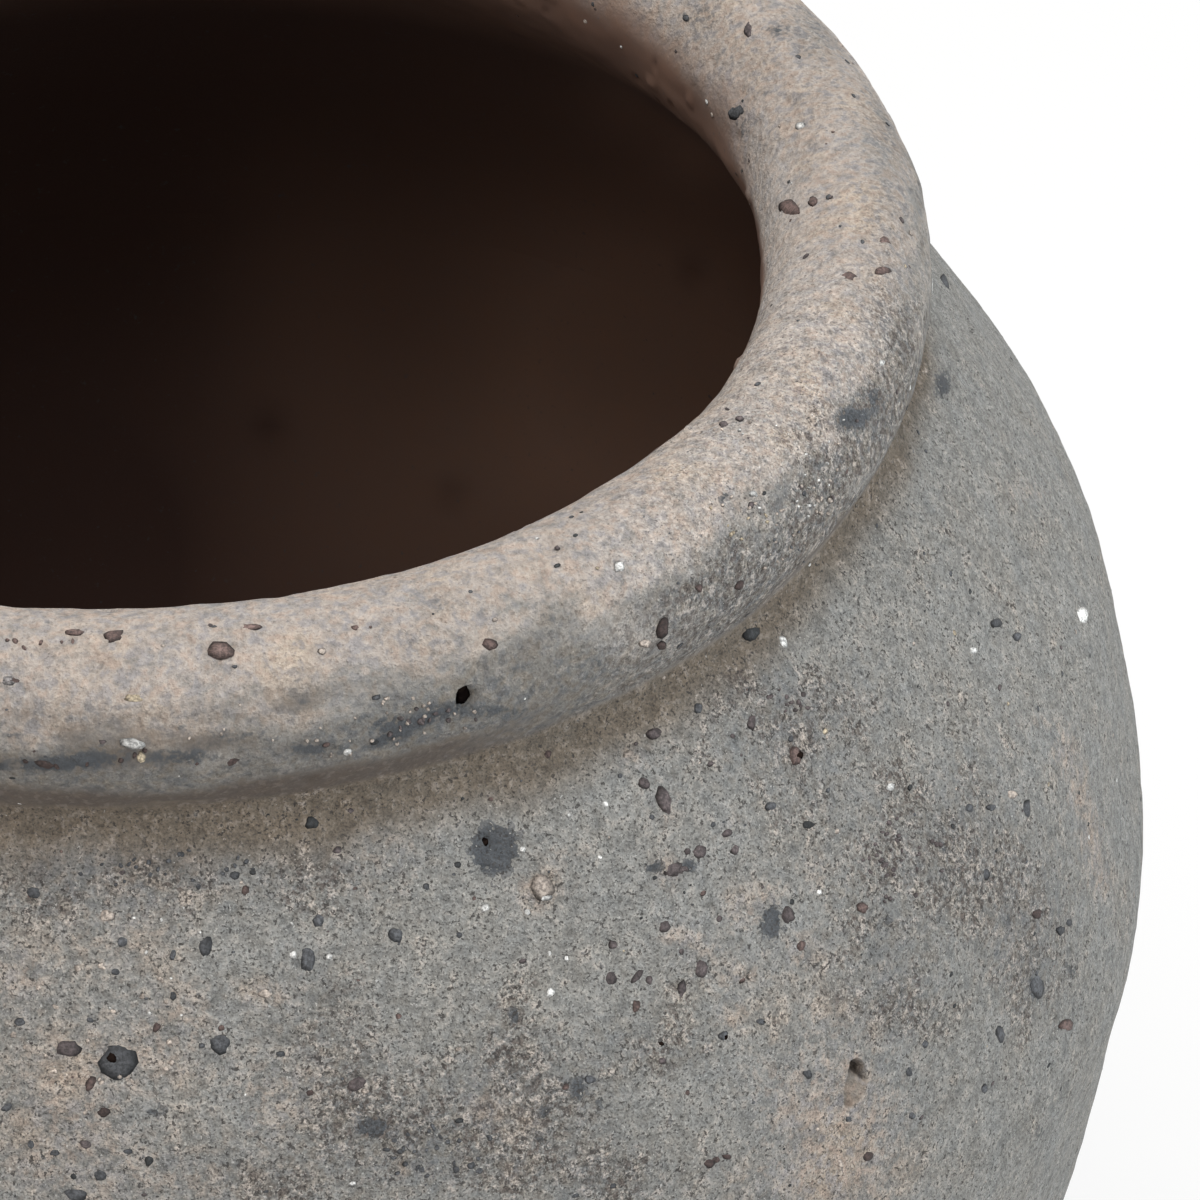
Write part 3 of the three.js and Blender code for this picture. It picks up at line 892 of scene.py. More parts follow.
# The five courses of wall: strips of clay rolled out by hand, luted edge to edge on a bevel and paddled
# together, so that only a slight swell and a rusty line at the belly tell where they meet.
for index, course in enumerate(course_names):
    piece = clay_ring(
        course + "_clay",
        stations(outer_seams[index], outer_seams[index + 1], OUTER_STEP),
        stations(inner_seams[index + 1], inner_seams[index], INNER_STEP),
    )
    finish_clay(piece, course, body_clay)

# The rim: a fat roll of clay laid on the neck, pressed down and wiped round with a thumb, which leaves
# the crease below it. Its top fired pinkish and its outer side is charred.
ROLL_INNER_STEP = 0.0015
roll_outer = stations(crease_place, bed_place - INNER_LIP, OUTER_STEP)
roll_inner = stations(bed_place - INNER_LIP, bed_place, ROLL_INNER_STEP)[1:]
rim = clay_ring("rim_roll_clay", np.concatenate([roll_outer, roll_inner]), np.array([]))
finish_clay(rim, "rim_roll", rim_clay)

# The grit: bits of scoria, brick and quartz mixed into the clay, most of them flush with the skin. The ones
# that the photograph shows are listed as across, down, width, height and turn. A speckled patch is a colour,
# across, down, width, height, how many grains and their size. The rest lie at random.
GRAIN_COLOURS = {
    "brown": (0.075, 0.052, 0.048),
    "black": (0.036, 0.038, 0.040),
    "slate": (0.080, 0.083, 0.090),
    "purple": (0.094, 0.077, 0.078),
    "red": (0.130, 0.090, 0.082),
    "white": (0.660, 0.655, 0.640),
    "beige": (0.430, 0.370, 0.325),
    "ochre": (0.440, 0.370, 0.270),
    "grey": (0.260, 0.245, 0.245),
}
GRAINS_IN_PHOTO = {
    "brown": [
        (232, 764, 18, 7, -20), (45, 766, 22, 9, 15), (548, 754, 9, 8, 0), (709, 1164, 12, 9, 0),
        (717, 1160, 10, 7, 0), (728, 1157, 10, 6, 0), (872, 1158, 14, 10, -20), (664, 627, 12, 20, 10),
        (663, 646, 10, 9, 0), (700, 588, 8, 8, 0), (740, 586, 8, 12, 20), (90, 1085, 10, 16, 20),
        (103, 1113, 14, 10, -20), (157, 1027, 8, 12, 20), (310, 1093, 10, 7, 0), (1039, 915, 10, 12, 0),
    ],
    "black": [
        (753, 634, 22, 16, -20), (810, 824, 13, 10, 20), (312, 822, 16, 14, 0), (149, 1161, 12, 10, 0),
    ],
    "slate": [
        (396, 935, 17, 16, 0), (308, 960, 16, 26, -10), (319, 921, 14, 14, 0), (205, 948, 14, 22, 10),
        (220, 1044, 24, 20, 0), (590, 1080, 12, 10, 0), (118, 1063, 36, 36, 0), (100, 1175, 15, 14, 0),
        (34, 892, 18, 14, -20), (122, 942, 12, 12, 0), (76, 1195, 26, 14, 0), (944, 283, 10, 16, 0),
        (1042, 986, 14, 26, -10), (1006, 1036, 10, 18, 0), (985, 874, 14, 14, 0), (971, 808, 10, 10, 0),
        (992, 808, 10, 8, 0), (1027, 810, 8, 18, 0), (1065, 931, 9, 10, 0), (1074, 923, 9, 9, 0),
        (1000, 622, 12, 10, 0), (1021, 636, 9, 9, 0), (734, 111, 18, 14, 0), (772, 806, 10, 10, 45),
        (724, 1036, 11, 10, 0), (808, 1074, 10, 9, 0), (851, 1120, 10, 10, 0), (761, 1022, 9, 7, 0),
        (699, 708, 9, 12, 0), (31, 1145, 8, 9, 0), (55, 1153, 12, 8, 0), (20, 1023, 11, 9, 0),
        (7, 1108, 12, 8, -30), (173, 955, 7, 12, 10), (173, 995, 8, 12, 0), (235, 875, 11, 9, 0),
        (427, 887, 8, 8, 0), (471, 1165, 8, 8, 0), (912, 1072, 8, 11, 0), (927, 1045, 8, 8, 0),
        (917, 1117, 7, 8, 0), (989, 1091, 7, 10, 0), (460, 935, 7, 6, 0),
    ],
    "purple": [
        (69, 1048, 26, 18, 0), (656, 734, 18, 11, -20), (85, 1145, 13, 9, 25), (645, 784, 13, 15, 0),
        (666, 801, 15, 32, -25), (752, 722, 10, 16, 10), (700, 852, 16, 15, 0), (688, 851, 8, 8, 0),
        (674, 868, 18, 16, 0), (791, 916, 15, 20, -20), (704, 970, 14, 22, 10), (612, 979, 13, 14, 0),
        (638, 977, 8, 18, 35), (651, 980, 9, 10, 0), (616, 946, 10, 11, 0), (667, 927, 13, 14, 0),
        (748, 27, 9, 18, 0), (724, 421, 9, 7, 0), (740, 417, 8, 6, 0), (358, 1086, 22, 16, -30),
        (684, 991, 8, 18, 10), (736, 850, 9, 10, 0), (727, 832, 10, 9, 0), (662, 1061, 9, 8, 0),
    ],
    "red": [
        (220, 648, 26, 18, 0), (113, 634, 20, 13, -10), (251, 626, 24, 8, 0), (356, 625, 9, 6, 0),
        (75, 630, 20, 8, 0), (797, 755, 13, 20, 0), (864, 908, 12, 11, 0), (884, 239, 14, 10, 0),
        (1069, 1027, 14, 12, 0), (744, 978, 10, 12, 0), (803, 946, 10, 12, 0), (638, 1007, 10, 14, 0),
        (490, 644, 14, 12, 0), (12, 680, 16, 8, 0), (786, 208, 22, 18, 20), (812, 201, 10, 9, 0),
        (849, 275, 20, 12, 0), (883, 270, 16, 9, 0), (245, 890, 8, 10, 0),
    ],
    "white": [
        (523, 849, 7, 7, 0), (619, 566, 11, 11, 0), (132, 743, 26, 12, 8), (552, 994, 9, 12, 25),
        (784, 642, 9, 14, -20), (893, 787, 10, 9, 0), (977, 650, 10, 9, 0), (1083, 615, 14, 20, 0),
        (799, 124, 10, 9, 0), (753, 494, 8, 6, 0), (883, 363, 8, 7, 0), (293, 955, 8, 8, 0),
        (329, 956, 7, 7, 0), (529, 912, 7, 7, 0), (606, 804, 8, 6, 0), (349, 753, 9, 7, 0),
        (601, 858, 5, 5, 0), (551, 954, 5, 5, 0), (568, 959, 5, 6, 0), (822, 892, 6, 6, 0),
        (544, 897, 12, 8, 0),
    ],
    "beige": [
        (541, 888, 22, 26, 10), (266, 994, 18, 10, 0), (107, 916, 18, 14, 0), (1013, 795, 12, 10, 0),
        (633, 755, 16, 14, 0), (646, 645, 12, 8, 0), (366, 1092, 9, 6, 0),
    ],
    "ochre": [(136, 699, 30, 9, 0), (141, 758, 9, 14, 0)],
    "grey": [(8, 680, 18, 12, 0)],
}
SPECKLED_PATCHES = [
    ("purple", 676, 868, 30, 14, 6, 6), ("purple", 790, 700, 50, 24, 12, 5),
    ("slate", 440, 1150, 110, 60, 26, 6), ("purple", 900, 860, 90, 90, 36, 5),
    ("slate", 160, 870, 200, 40, 24, 5), ("red", 60, 640, 110, 20, 6, 6),
    ("beige", 850, 1130, 70, 100, 10, 6), ("white", 790, 455, 140, 130, 26, 3),
    ("beige", 775, 465, 150, 140, 34, 4), ("purple", 790, 440, 150, 150, 12, 4),
    ("ochre", 740, 515, 70, 50, 8, 4), ("slate", 790, 535, 70, 60, 6, 4),
    ("beige", 785, 545, 80, 70, 14, 3), ("purple", 430, 722, 110, 40, 14, 5),
    ("beige", 420, 715, 140, 40, 16, 4), ("brown", 120, 760, 230, 24, 8, 6),
    ("beige", 300, 742, 280, 34, 16, 4), ("beige", 100, 1040, 240, 160, 30, 6),
    ("white", 200, 960, 380, 120, 12, 4),
]
FLATS = 7
FLAT_DISTANCES = (0.82, 1.20)
LONGEST_CORNER = 1.30
CHIPPED = 0.04
EDGE_SUNK = 0.25
CHIP_RINGS = 2
LISTED_SPOKES = 12
LISTED_LEAST_PROUD = 0.00015
LISTED_PROUD = 0.06
FLATTEST_VIEW = -0.35
GRIT_PORES = (0.040, 0.038, 0.036, 1)
LOOSE_GRAINS = 2600
LOOSE_SPOKES = 8
LOOSE_PROUD = 0.15
SMALLEST_LOOSE = 0.0002
LOOSE_SPREAD = 0.0015
LOOSE_SHARES = {
    "black": 0.20,
    "slate": 0.26,
    "purple": 0.22,
    "red": 0.10,
    "white": 0.06,
    "beige": 0.12,
    "ochre": 0.04,
}
LARGEST_LOOSE_SHOWN = 0.00045
grain_dice = np.random.default_rng(65)


def grain_mesh(name, centre, side, up, normal, colour, spokes, proud):
    """Chips of stone. Each outline is an oval cut by random flats: its radius at a turn is the least of the
    flats' distances over the cosine to them. Rings of that outline shrink by a share and stand at a height of
    proud x (1 - share squared); the outermost is sunk into the clay and a point below closes the chip."""
    count = len(centre)
    turn = np.arange(spokes) * 2 * np.pi / spokes
    flat_turn = (np.arange(FLATS) + grain_dice.uniform(0.1, 0.9, (count, FLATS))) * 2 * np.pi / FLATS
    flat_far = grain_dice.uniform(*FLAT_DISTANCES, (count, FLATS))
    facing = np.cos(turn[None, None, :] - flat_turn[:, :, None])
    crook = np.min(flat_far[:, :, None] / np.maximum(facing, 0.2), axis=1)
    crook = np.minimum(crook, LONGEST_CORNER) + grain_dice.normal(0, CHIPPED, (count, spokes))
    outline = crook[..., None] * (
        np.cos(turn)[None, :, None] * side[:, None, :] + np.sin(turn)[None, :, None] * up[:, None, :]
    )
    share = np.linspace(1, 0, CHIP_RINGS + 1)[:-1]
    lift = proud[:, None] * (1.2 * (1 - share**2) - EDGE_SUNK)[None, :]
    ring = centre[:, None, None, :] + share[None, :, None, None] * outline[:, None, :, :]
    lift = lift[:, :, None] * grain_dice.uniform(0.6, 1.4, (count, CHIP_RINGS, spokes))
    ring = ring + lift[..., None] * normal[:, None, None, :]
    top = centre + 0.8 * proud[:, None] * normal
    bottom = centre - 1.6 * proud[:, None] * normal
    points = np.concatenate([ring.reshape(count, -1, 3), top[:, None], bottom[:, None]], axis=1)
    per_grain = CHIP_RINGS * spokes + 2
    at = np.arange(spokes)
    after = (at + 1) % spokes
    faces = []
    for level in range(CHIP_RINGS - 1):
        low, high = level * spokes, (level + 1) * spokes
        faces.append(np.stack([low + at, low + after, high + after], axis=1))
        faces.append(np.stack([low + at, high + after, high + at], axis=1))
    last = (CHIP_RINGS - 1) * spokes
    faces.append(np.stack([last + at, last + after, np.full(spokes, per_grain - 2)], axis=1))
    faces.append(np.stack([after, at, np.full(spokes, per_grain - 1)], axis=1))
    one = np.concatenate(faces)
    every = (one[None] + per_grain * np.arange(count)[:, None, None]).reshape(-1, 3)
    piece = new_piece(name, points.reshape(-1, 3), every)
    tint = piece.data.attributes.new("tint", "FLOAT_COLOR", "POINT")
    # Painted shade: each grain darker towards its outline and most on one side, where the clay has shrunk
    # from it and the crevice is in shadow, and lighter in the middle.
    gap = 0.5 + 0.5 * np.cos(turn[None, :] - grain_dice.uniform(0, 2 * np.pi, (count, 1)))
    edge_shade = np.repeat(0.75 + 0.45 * (1 - share), spokes) * np.ones((count, 1))
    edge_shade[:, :spokes] *= 1 - 0.75 * gap
    edge_shade = np.concatenate([edge_shade, np.full((count, 1), 1.15), np.full((count, 1), 0.5)], axis=1)
    edge_shade = edge_shade * grain_dice.uniform(0.72, 1.22, (count, per_grain))
    shade = (colour[:, None, :] * edge_shade[..., None]).reshape(-1, 3)
    shade = np.concatenate([shade, np.ones((count * per_grain, 1))], axis=1)
    tint.data.foreach_set("color", shade.astype(np.float32).ravel())
    return piece


def grit_finish():
    """Bits of stone: each grain's own colour with painted shade at its edge, mottled, with fine black pores.
    """
    material, tree, body = new_finish("grit")
    place = in_mm(tree)
    tint = put(tree, "ShaderNodeAttribute", {}, attribute_name="tint").outputs["Color"]
    grain = grainy(tree, place, 2.2, 3.0, 0.6, 5.0)
    light = ramp(tree, grain, 0.36, 0.64, 0.60, 1.40)
    shade = put(tree, "ShaderNodeCombineColor", {0: light, 1: light, 2: light}).outputs[0]
    colour = coat(tree, 1.0, tint, shade, "MULTIPLY")
    pores = ramp(tree, grainy(tree, place, 2.2, 2.0, 0.5, 9.0), 0.62, 0.68)
    colour = coat(tree, times(tree, pores, 0.4), colour, GRIT_PORES)
    tree.links.new(colour, body.inputs["Base Color"])
    bump = put(tree, "ShaderNodeBump", {"Strength": 0.8, "Distance": 0.0003, "Height": grain})
    tree.links.new(bump.outputs[0], body.inputs["Normal"])
    tree.links.new(ramp(tree, grain, 0.3, 0.7, 0.65, 0.9), body.inputs["Roughness"])
    body.inputs["Specular IOR Level"].default_value = 0.35
    return material


grit = grit_finish()


def on_skin(place, angle, sink=1.0):
    """Point on the hand-made skin and the drawn normal there, with the dents and lumps to a share
    of their depth."""
    point, normal = turned_point(place, angle)
    radius = np.hypot(point[:, 0], point[:, 1])[:, None]
    turn = (angle[:, None] - all_dents[None, :, 1] + np.pi) % (2 * np.pi) - np.pi
    near = (turn * radius / all_dents[None, :, 2]) ** 2
    near = near + ((place[:, None] - all_dents[None, :, 0]) / all_dents[None, :, 3]) ** 2
    sunk = sink * np.sum(all_dents[None, :, 4] * bowl(near), axis=1)
    return point + normal * (hand_made(point) - sunk)[:, None], normal


def photo_grains():
    """The listed grains and the clusters of small ones inside each speckled patch."""
    rows = [row for rows in GRAINS_IN_PHOTO.values() for row in rows]
    colour = [GRAIN_COLOURS[key] for key, rows in GRAINS_IN_PHOTO.items() for _ in rows]
    for key, across, down, wide, high, count, size in SPECKLED_PATCHES:
        ring = np.sqrt(grain_dice.random(count)) / 2
        turn = grain_dice.uniform(0, 2 * np.pi, count)
        grain = size * grain_dice.uniform(0.6, 1.3, (2, count))
        tilt = grain_dice.uniform(0, 180, count)
        beside, under = across + wide * ring * np.cos(turn), down + high * ring * np.sin(turn)
        rows += list(zip(beside, under, *grain, tilt))
        colour += [GRAIN_COLOURS[key]] * count
    rows = np.array(rows, dtype=float)
    colour = np.array(colour) * grain_dice.uniform(0.75, 1.3, (len(rows), 1))
    return placed_grains("grit_in_photo", rows, colour)


def placed_grains(name, rows, colour, sink=1.0, lift=0.0):
    """Grains from rows of across, down, width, height and turn: each outline in the photograph is carried
    along the camera's rays onto the plane that touches the skin there, or stands off it by a lift."""
    place, angle, depth = seen_in_photo(rows[:, 0], rows[:, 1])
    centre, normal = on_skin(place, angle, sink)
    ray = centre - CAMERA_PLACE
    ray /= np.linalg.norm(ray, axis=1, keepdims=True)
    towards = np.minimum(np.sum(ray * normal, axis=1), FLATTEST_VIEW)
    scale = depth / LENS_IN_PIXELS
    across = camera_right - ray * (normal @ camera_right / towards)[:, None]
    down = camera_down - ray * (normal @ camera_down / towards)[:, None]
    tilt = np.radians(rows[:, 4])
    half_wide = (rows[:, 2] / 2 * scale)[:, None]
    half_high = (rows[:, 3] / 2 * scale)[:, None]
    side = half_wide * (np.cos(tilt)[:, None] * across + np.sin(tilt)[:, None] * down)
    up = half_high * (np.sin(tilt)[:, None] * across - np.cos(tilt)[:, None] * down)
    proud = LISTED_LEAST_PROUD + LISTED_PROUD * np.minimum(half_wide, half_high)[:, 0]
    centre = centre + normal * np.reshape(lift, (-1, 1))
    return grain_mesh(name, centre, side, up, normal, colour, LISTED_SPOKES, proud)


def loose_grains():
    """Grains at random places of the outer skin, all small where the photograph shows the skin."""
    low, high = place_on("outer", FOOT_ROUND) + 0.004, bed_place - 0.014
    place = grain_dice.uniform(low, high, LOOSE_GRAINS)
    angle = grain_dice.uniform(-np.pi, np.pi, LOOSE_GRAINS)
    half = SMALLEST_LOOSE + LOOSE_SPREAD * grain_dice.random(LOOSE_GRAINS) ** 4
    centre, normal = on_skin(place, angle)
    across, below = photo_pixel(centre)
    shown = (across > 0) & (across < PHOTO_SIDE) & (below > 0) & (below < PHOTO_SIDE)
    shown &= np.sum((CAMERA_PLACE - centre) * normal, axis=1) > 0
    half = np.where(shown, np.minimum(half, LARGEST_LOOSE_SHOWN), half)
    side = np.stack([-np.sin(angle), np.cos(angle), 0 * angle], axis=1)
    up = np.cross(normal, side)
    names = list(LOOSE_SHARES)
    pick = grain_dice.choice(len(names), LOOSE_GRAINS, p=list(LOOSE_SHARES.values()))
    colour = np.array([GRAIN_COLOURS[name] for name in names])[pick]
    long_way = (half * grain_dice.uniform(0.9, 1.5, LOOSE_GRAINS))[:, None]
    short_way = (half * grain_dice.uniform(0.7, 1.1, LOOSE_GRAINS))[:, None]
    side, up = long_way * side, short_way * up
    return grain_mesh("grit_loose", centre, side, up, normal, colour, LOOSE_SPOKES, LOOSE_PROUD * half)


for piece in (photo_grains(), loose_grains()):
    piece.data.materials.append(grit)
    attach(piece, "pot")

# Deep holes left by lost grains: a black disc of painted shadow lies flush with the mouth of each, for the
# dark inside the hole. They are listed as across, down, width, height, turn and, where the hole is in a
# stone, how far its painted shadow stands off the clay.
HOLES_IN_PHOTO = np.array(
    [
        (467, 699, 15, 22, 10, 0),
        (487, 842, 7, 8, 0, 0),
        (726, 1037, 6, 7, 0, 0),
        (113, 1058, 13, 13, 0, 0.00016),
        (662, 1044, 6, 5, 0, 0),
        (762, 1022, 7, 5, 0, 0),
        (800, 756, 7, 8, 0, 0.00010),
    ],
    dtype=float,
)
HOLE_SINK = 0.45
HOLE_BLACK = (0.006, 0.004, 0.004, 1)
HOLE_BROWN = (0.018, 0.012, 0.010, 1)
LUMPS_A_METRE = 900.0


def hole_finish():
    """Painted shadow inside a hole: black with brown where a noise is high, and no shine at all."""
    material, tree, body = new_finish("hole_shadow")
    metres = put(tree, "ShaderNodeTexCoord", {}).outputs["Object"]
    grain = grainy(tree, metres, LUMPS_A_METRE, 2.0, 0.5, 3.0)
    colour = coat(tree, ramp(tree, grain, 0.4, 0.6), HOLE_BLACK, HOLE_BROWN)
    tree.links.new(colour, body.inputs["Base Color"])
    body.inputs["Roughness"].default_value = 1.0
    body.inputs["Specular IOR Level"].default_value = 0.0
    return material


hole_tint = np.full((len(HOLES_IN_PHOTO), 3), 0.01)
holes = placed_grains("hole_painted_shadows", HOLES_IN_PHOTO, hole_tint, HOLE_SINK, HOLES_IN_PHOTO[:, 5])
holes.data.materials.append(hole_finish())
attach(holes, "pot")

# The gouge low on the right: a stone as long as a grain of rice fell out and left a trough, deep at its head
# and painted dark there as shade. A finer piece of the same skin lies over the coarse dent there, so that its
# edge is sharp.
GOUGE_OUTLINE = np.array(
    [
        (856, 1058), (850, 1061), (849, 1067), (848, 1076), (846, 1085), (845, 1095), (845, 1104),
        (848, 1108), (854, 1109), (860, 1104), (864, 1098), (867, 1091), (869, 1083), (868, 1077),
        (866, 1072), (866, 1066), (862, 1061),
    ],
    dtype=float,
)
GOUGE_MIDDLE = (857.0, 1083.0)
GOUGE_REACH = (30.0, 44.0)
GOUGE_DEPTH = 0.0030
GOUGE_STEPS = (61, 89)
GOUGE_HEAD = (1062, 1080)
GOUGE_RIGHT = (850, 870)
GOUGE_LIP = 0.00012
GOUGE_PROUD = 0.00008
GOUGE_TUCK = 0.0006
GOUGE_SHEET = 0.0003


def inside_outline(across, below, corners):
    """Distance in pixels from a drawn outline, more than nothing inside it: the least distance to its sides,
    signed by the sum of the angles under which they are seen."""
    start, end = corners, np.roll(corners, -1, axis=0)
    at = np.stack([across, below], axis=-1)[..., None, :]
    side = end - start
    share = np.clip(np.sum((at - start) * side, axis=-1) / np.sum(side**2, axis=-1), 0, 1)
    gap = np.linalg.norm(at - start - share[..., None] * side, axis=-1).min(axis=-1)
    first, second = start - at, end - at
    cross = first[..., 0] * second[..., 1] - first[..., 1] * second[..., 0]
    turned = np.arctan2(cross, np.sum(first * second, axis=-1)).sum(axis=-1)
    return np.where(np.abs(turned) > np.pi, gap, -gap)


def skin_places(across, below, middle, reach):
    """Place and angle of photo pixels on a small piece of skin: a surface of second order through
    49 traced rays."""
    u, v = np.meshgrid(np.linspace(-1, 1, 7), np.linspace(-1, 1, 7))
    place, angle, _ = seen_in_photo(middle[0] + reach[0] * u.ravel(), middle[1] + reach[1] * v.ravel())

    def terms(u, v):
        return np.stack([1 + 0 * u, u, v, u * u, u * v, v * v], axis=-1)

    fit = np.linalg.lstsq(terms(u.ravel(), v.ravel()), np.stack([place, angle], axis=1), rcond=None)[0]
    both = terms((across - middle[0]) / reach[0], (below - middle[1]) / reach[1]) @ fit
    return both[..., 0], both[..., 1]


def gouge_skin():
    """The piece of skin: a grid of pixels laid on the wall, sunk inside the outline, deepest at its upper
    end, and closed by a second sheet behind it."""
    across, below = np.meshgrid(
        GOUGE_MIDDLE[0] + GOUGE_REACH[0] * np.linspace(-1, 1, GOUGE_STEPS[0]),
        GOUGE_MIDDLE[1] + GOUGE_REACH[1] * np.linspace(-1, 1, GOUGE_STEPS[1]),
    )
    place, angle = skin_places(across, below, GOUGE_MIDDLE, GOUGE_REACH)
    point, normal = turned_point(place, angle)
    within = inside_outline(across, below, GOUGE_OUTLINE)
    head = 1 - eased(*GOUGE_HEAD, below + 0.6 * (GOUGE_MIDDLE[0] - across))
    right = eased(*GOUGE_RIGHT, across)
    depth = GOUGE_DEPTH * eased(0, 1.6, within) * (0.40 + 0.60 * head) * (1 - 0.75 * right * (1 - head))
    lip = GOUGE_LIP * np.exp(-((within + 1.5) / 2.0) ** 2) * (1 - right)
    from_sides = GOUGE_REACH[0] - np.abs(across - GOUGE_MIDDLE[0])
    from_ends = GOUGE_REACH[1] - np.abs(below - GOUGE_MIDDLE[1])
    edge = np.minimum(from_sides, from_ends)
    lift = GOUGE_PROUD - GOUGE_TUCK * (1 - eased(0, 2.0, edge))
    front = point + normal * (hand_made(point) + lift + lip - depth)[..., None]
    back = (front - GOUGE_SHEET * normal)[1:-1, 1:-1]
    rows, columns = across.shape
    corner = np.arange(rows * columns).reshape(rows, columns)
    behind = corner.copy()
    behind[1:-1, 1:-1] = rows * columns + np.arange(back.size // 3).reshape(rows - 2, columns - 2)
    outward = np.stack([corner[:-1, :-1], corner[1:, :-1], corner[1:, 1:], corner[:-1, 1:]], axis=-1)
    inward = np.stack([behind[:-1, :-1], behind[:-1, 1:], behind[1:, 1:], behind[1:, :-1]], axis=-1)
    faces = np.concatenate([outward.reshape(-1, 4), inward.reshape(-1, 4)])
    tones, marks = clay_tones(point, normal, place)
    # The trough's floor is beige and wiped brown. Its head is painted charred dark: painted shade in the deep
    # end. Its raised lip is pale, partly the colour of a chip and partly a painted highlight.
    floor_share = eased(-0.5, 1.5, within)
    tones[..., 0] = np.maximum(tones[..., 0], 0.9 * floor_share) + 0.8 * lip / GOUGE_LIP
    tones[..., 1] = np.maximum(tones[..., 1], floor_share * head)
    tones[..., 2] = np.maximum(tones[..., 2], floor_share * (0.50 + 0.50 * head - 0.25 * right))
    marks[..., 1] = marks[..., 1] * (1 - 0.6 * floor_share)
    piece = new_piece("gouge_skin", np.concatenate([front.reshape(-1, 3), back.reshape(-1, 3)]), faces)
    tones = np.concatenate([tones.reshape(-1, 4), tones[1:-1, 1:-1].reshape(-1, 4)])
    marks = np.concatenate([marks.reshape(-1, 4), marks[1:-1, 1:-1].reshape(-1, 4)])
    paint_clay(piece.data, np.clip(tones, 0, 1), marks)
    return piece


gouge = gouge_skin()
gouge.data.materials.append(body_clay)
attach(gouge, "pot")

# The drain bung: a moulded rubber plug pushed into the drain hole from inside, with a flange that lies on
# the floor of the pot and a knob to pull it out by. It is dusty with clay.
bung_low, bung_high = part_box("drain_bung")
PLUG_TIP_RADIUS = 0.01100
TIP_CUT = 0.0005
TIP_RISE = 0.0006
PLUG_TOP_RADIUS = 0.01270
FLANGE_RADIUS = bung_high.x
SEAT_GAP = 0.0003
FLANGE_THICKNESS = 0.0035
STEM_HEIGHT = 0.005
FLANGE_BOTTOM = BASE_THICKNESS + SEAT_GAP
FLANGE_TOP = FLANGE_BOTTOM + FLANGE_THICKNESS
FLANGE_SIDE = 0.0018
FLANGE_DRAFT = 0.0004
FLANGE_ROUND = 0.0018
STEM_RADIUS = 0.0045
STEM_FILLET = 0.0012
KNOB_RADIUS = 0.0075
KNOB_UNDERCUT = 0.0003
KNOB_WIDEST = (0.002, 0.0045)
CROWN_EDGE = 0.0022
CROWN_RISE = 0.0008
KNOB_BOTTOM = FLANGE_TOP + STEM_HEIGHT
BUNG_ROUND = 0.00035
BUNG_STEP = 0.00025
BUNG_SIDES = 96
RUBBER_BLACK = (0.020, 0.020, 0.019, 1)
RUBBER_GREY = (0.036, 0.035, 0.033, 1)
CLAY_DUST = (0.200, 0.160, 0.125, 1)
MIRRORED = 29
BELL_STEPS = 12


def bung_section():
    """The bung's outline from the axis below to the axis above, stepped evenly. Its corners are eased by
    averaging it along itself with a bell; it is mirrored past both ends first, to stay on the axis."""
    corners = [
        1j * bung_low.z,
        PLUG_TIP_RADIUS - TIP_CUT + 1j * bung_low.z,
        PLUG_TIP_RADIUS + 1j * (bung_low.z + TIP_RISE),
        PLUG_TOP_RADIUS + 1j * BASE_THICKNESS,
        PLUG_TOP_RADIUS + 1j * FLANGE_BOTTOM,
        FLANGE_RADIUS + 1j * FLANGE_BOTTOM,
        FLANGE_RADIUS - FLANGE_DRAFT + 1j * (FLANGE_BOTTOM + FLANGE_SIDE),
        FLANGE_RADIUS - FLANGE_ROUND + 1j * FLANGE_TOP,
        STEM_RADIUS + STEM_FILLET + 1j * FLANGE_TOP,
        STEM_RADIUS + 1j * (FLANGE_TOP + STEM_FILLET),
        STEM_RADIUS + 1j * (KNOB_BOTTOM - KNOB_UNDERCUT),
        KNOB_RADIUS + 1j * (KNOB_BOTTOM + KNOB_WIDEST[0]),
        KNOB_RADIUS + 1j * (KNOB_BOTTOM + KNOB_WIDEST[1]),
        KNOB_RADIUS - CROWN_EDGE + 1j * (bung_high.z - CROWN_RISE),
        1j * bung_high.z,
    ]
    corners = np.array(corners)
    length = measured(corners)
    even = np.arange(0, length[-1], BUNG_STEP)
    path = np.interp(even, length, corners.real) + 1j * np.interp(even, length, corners.imag)
    before = -np.conj(path[1 : MIRRORED + 1][::-1])
    after = -np.conj(path[-MIRRORED - 1 : -1][::-1])
    padded = np.concatenate([before, path, after])
    offset = np.arange(-BELL_STEPS, BELL_STEPS + 1) * BUNG_STEP
    bell = np.exp(-((offset / BUNG_ROUND) ** 2) / 2)
    smooth = np.convolve(padded, bell / bell.sum(), mode="same")
    return smooth[MIRRORED:-MIRRORED]


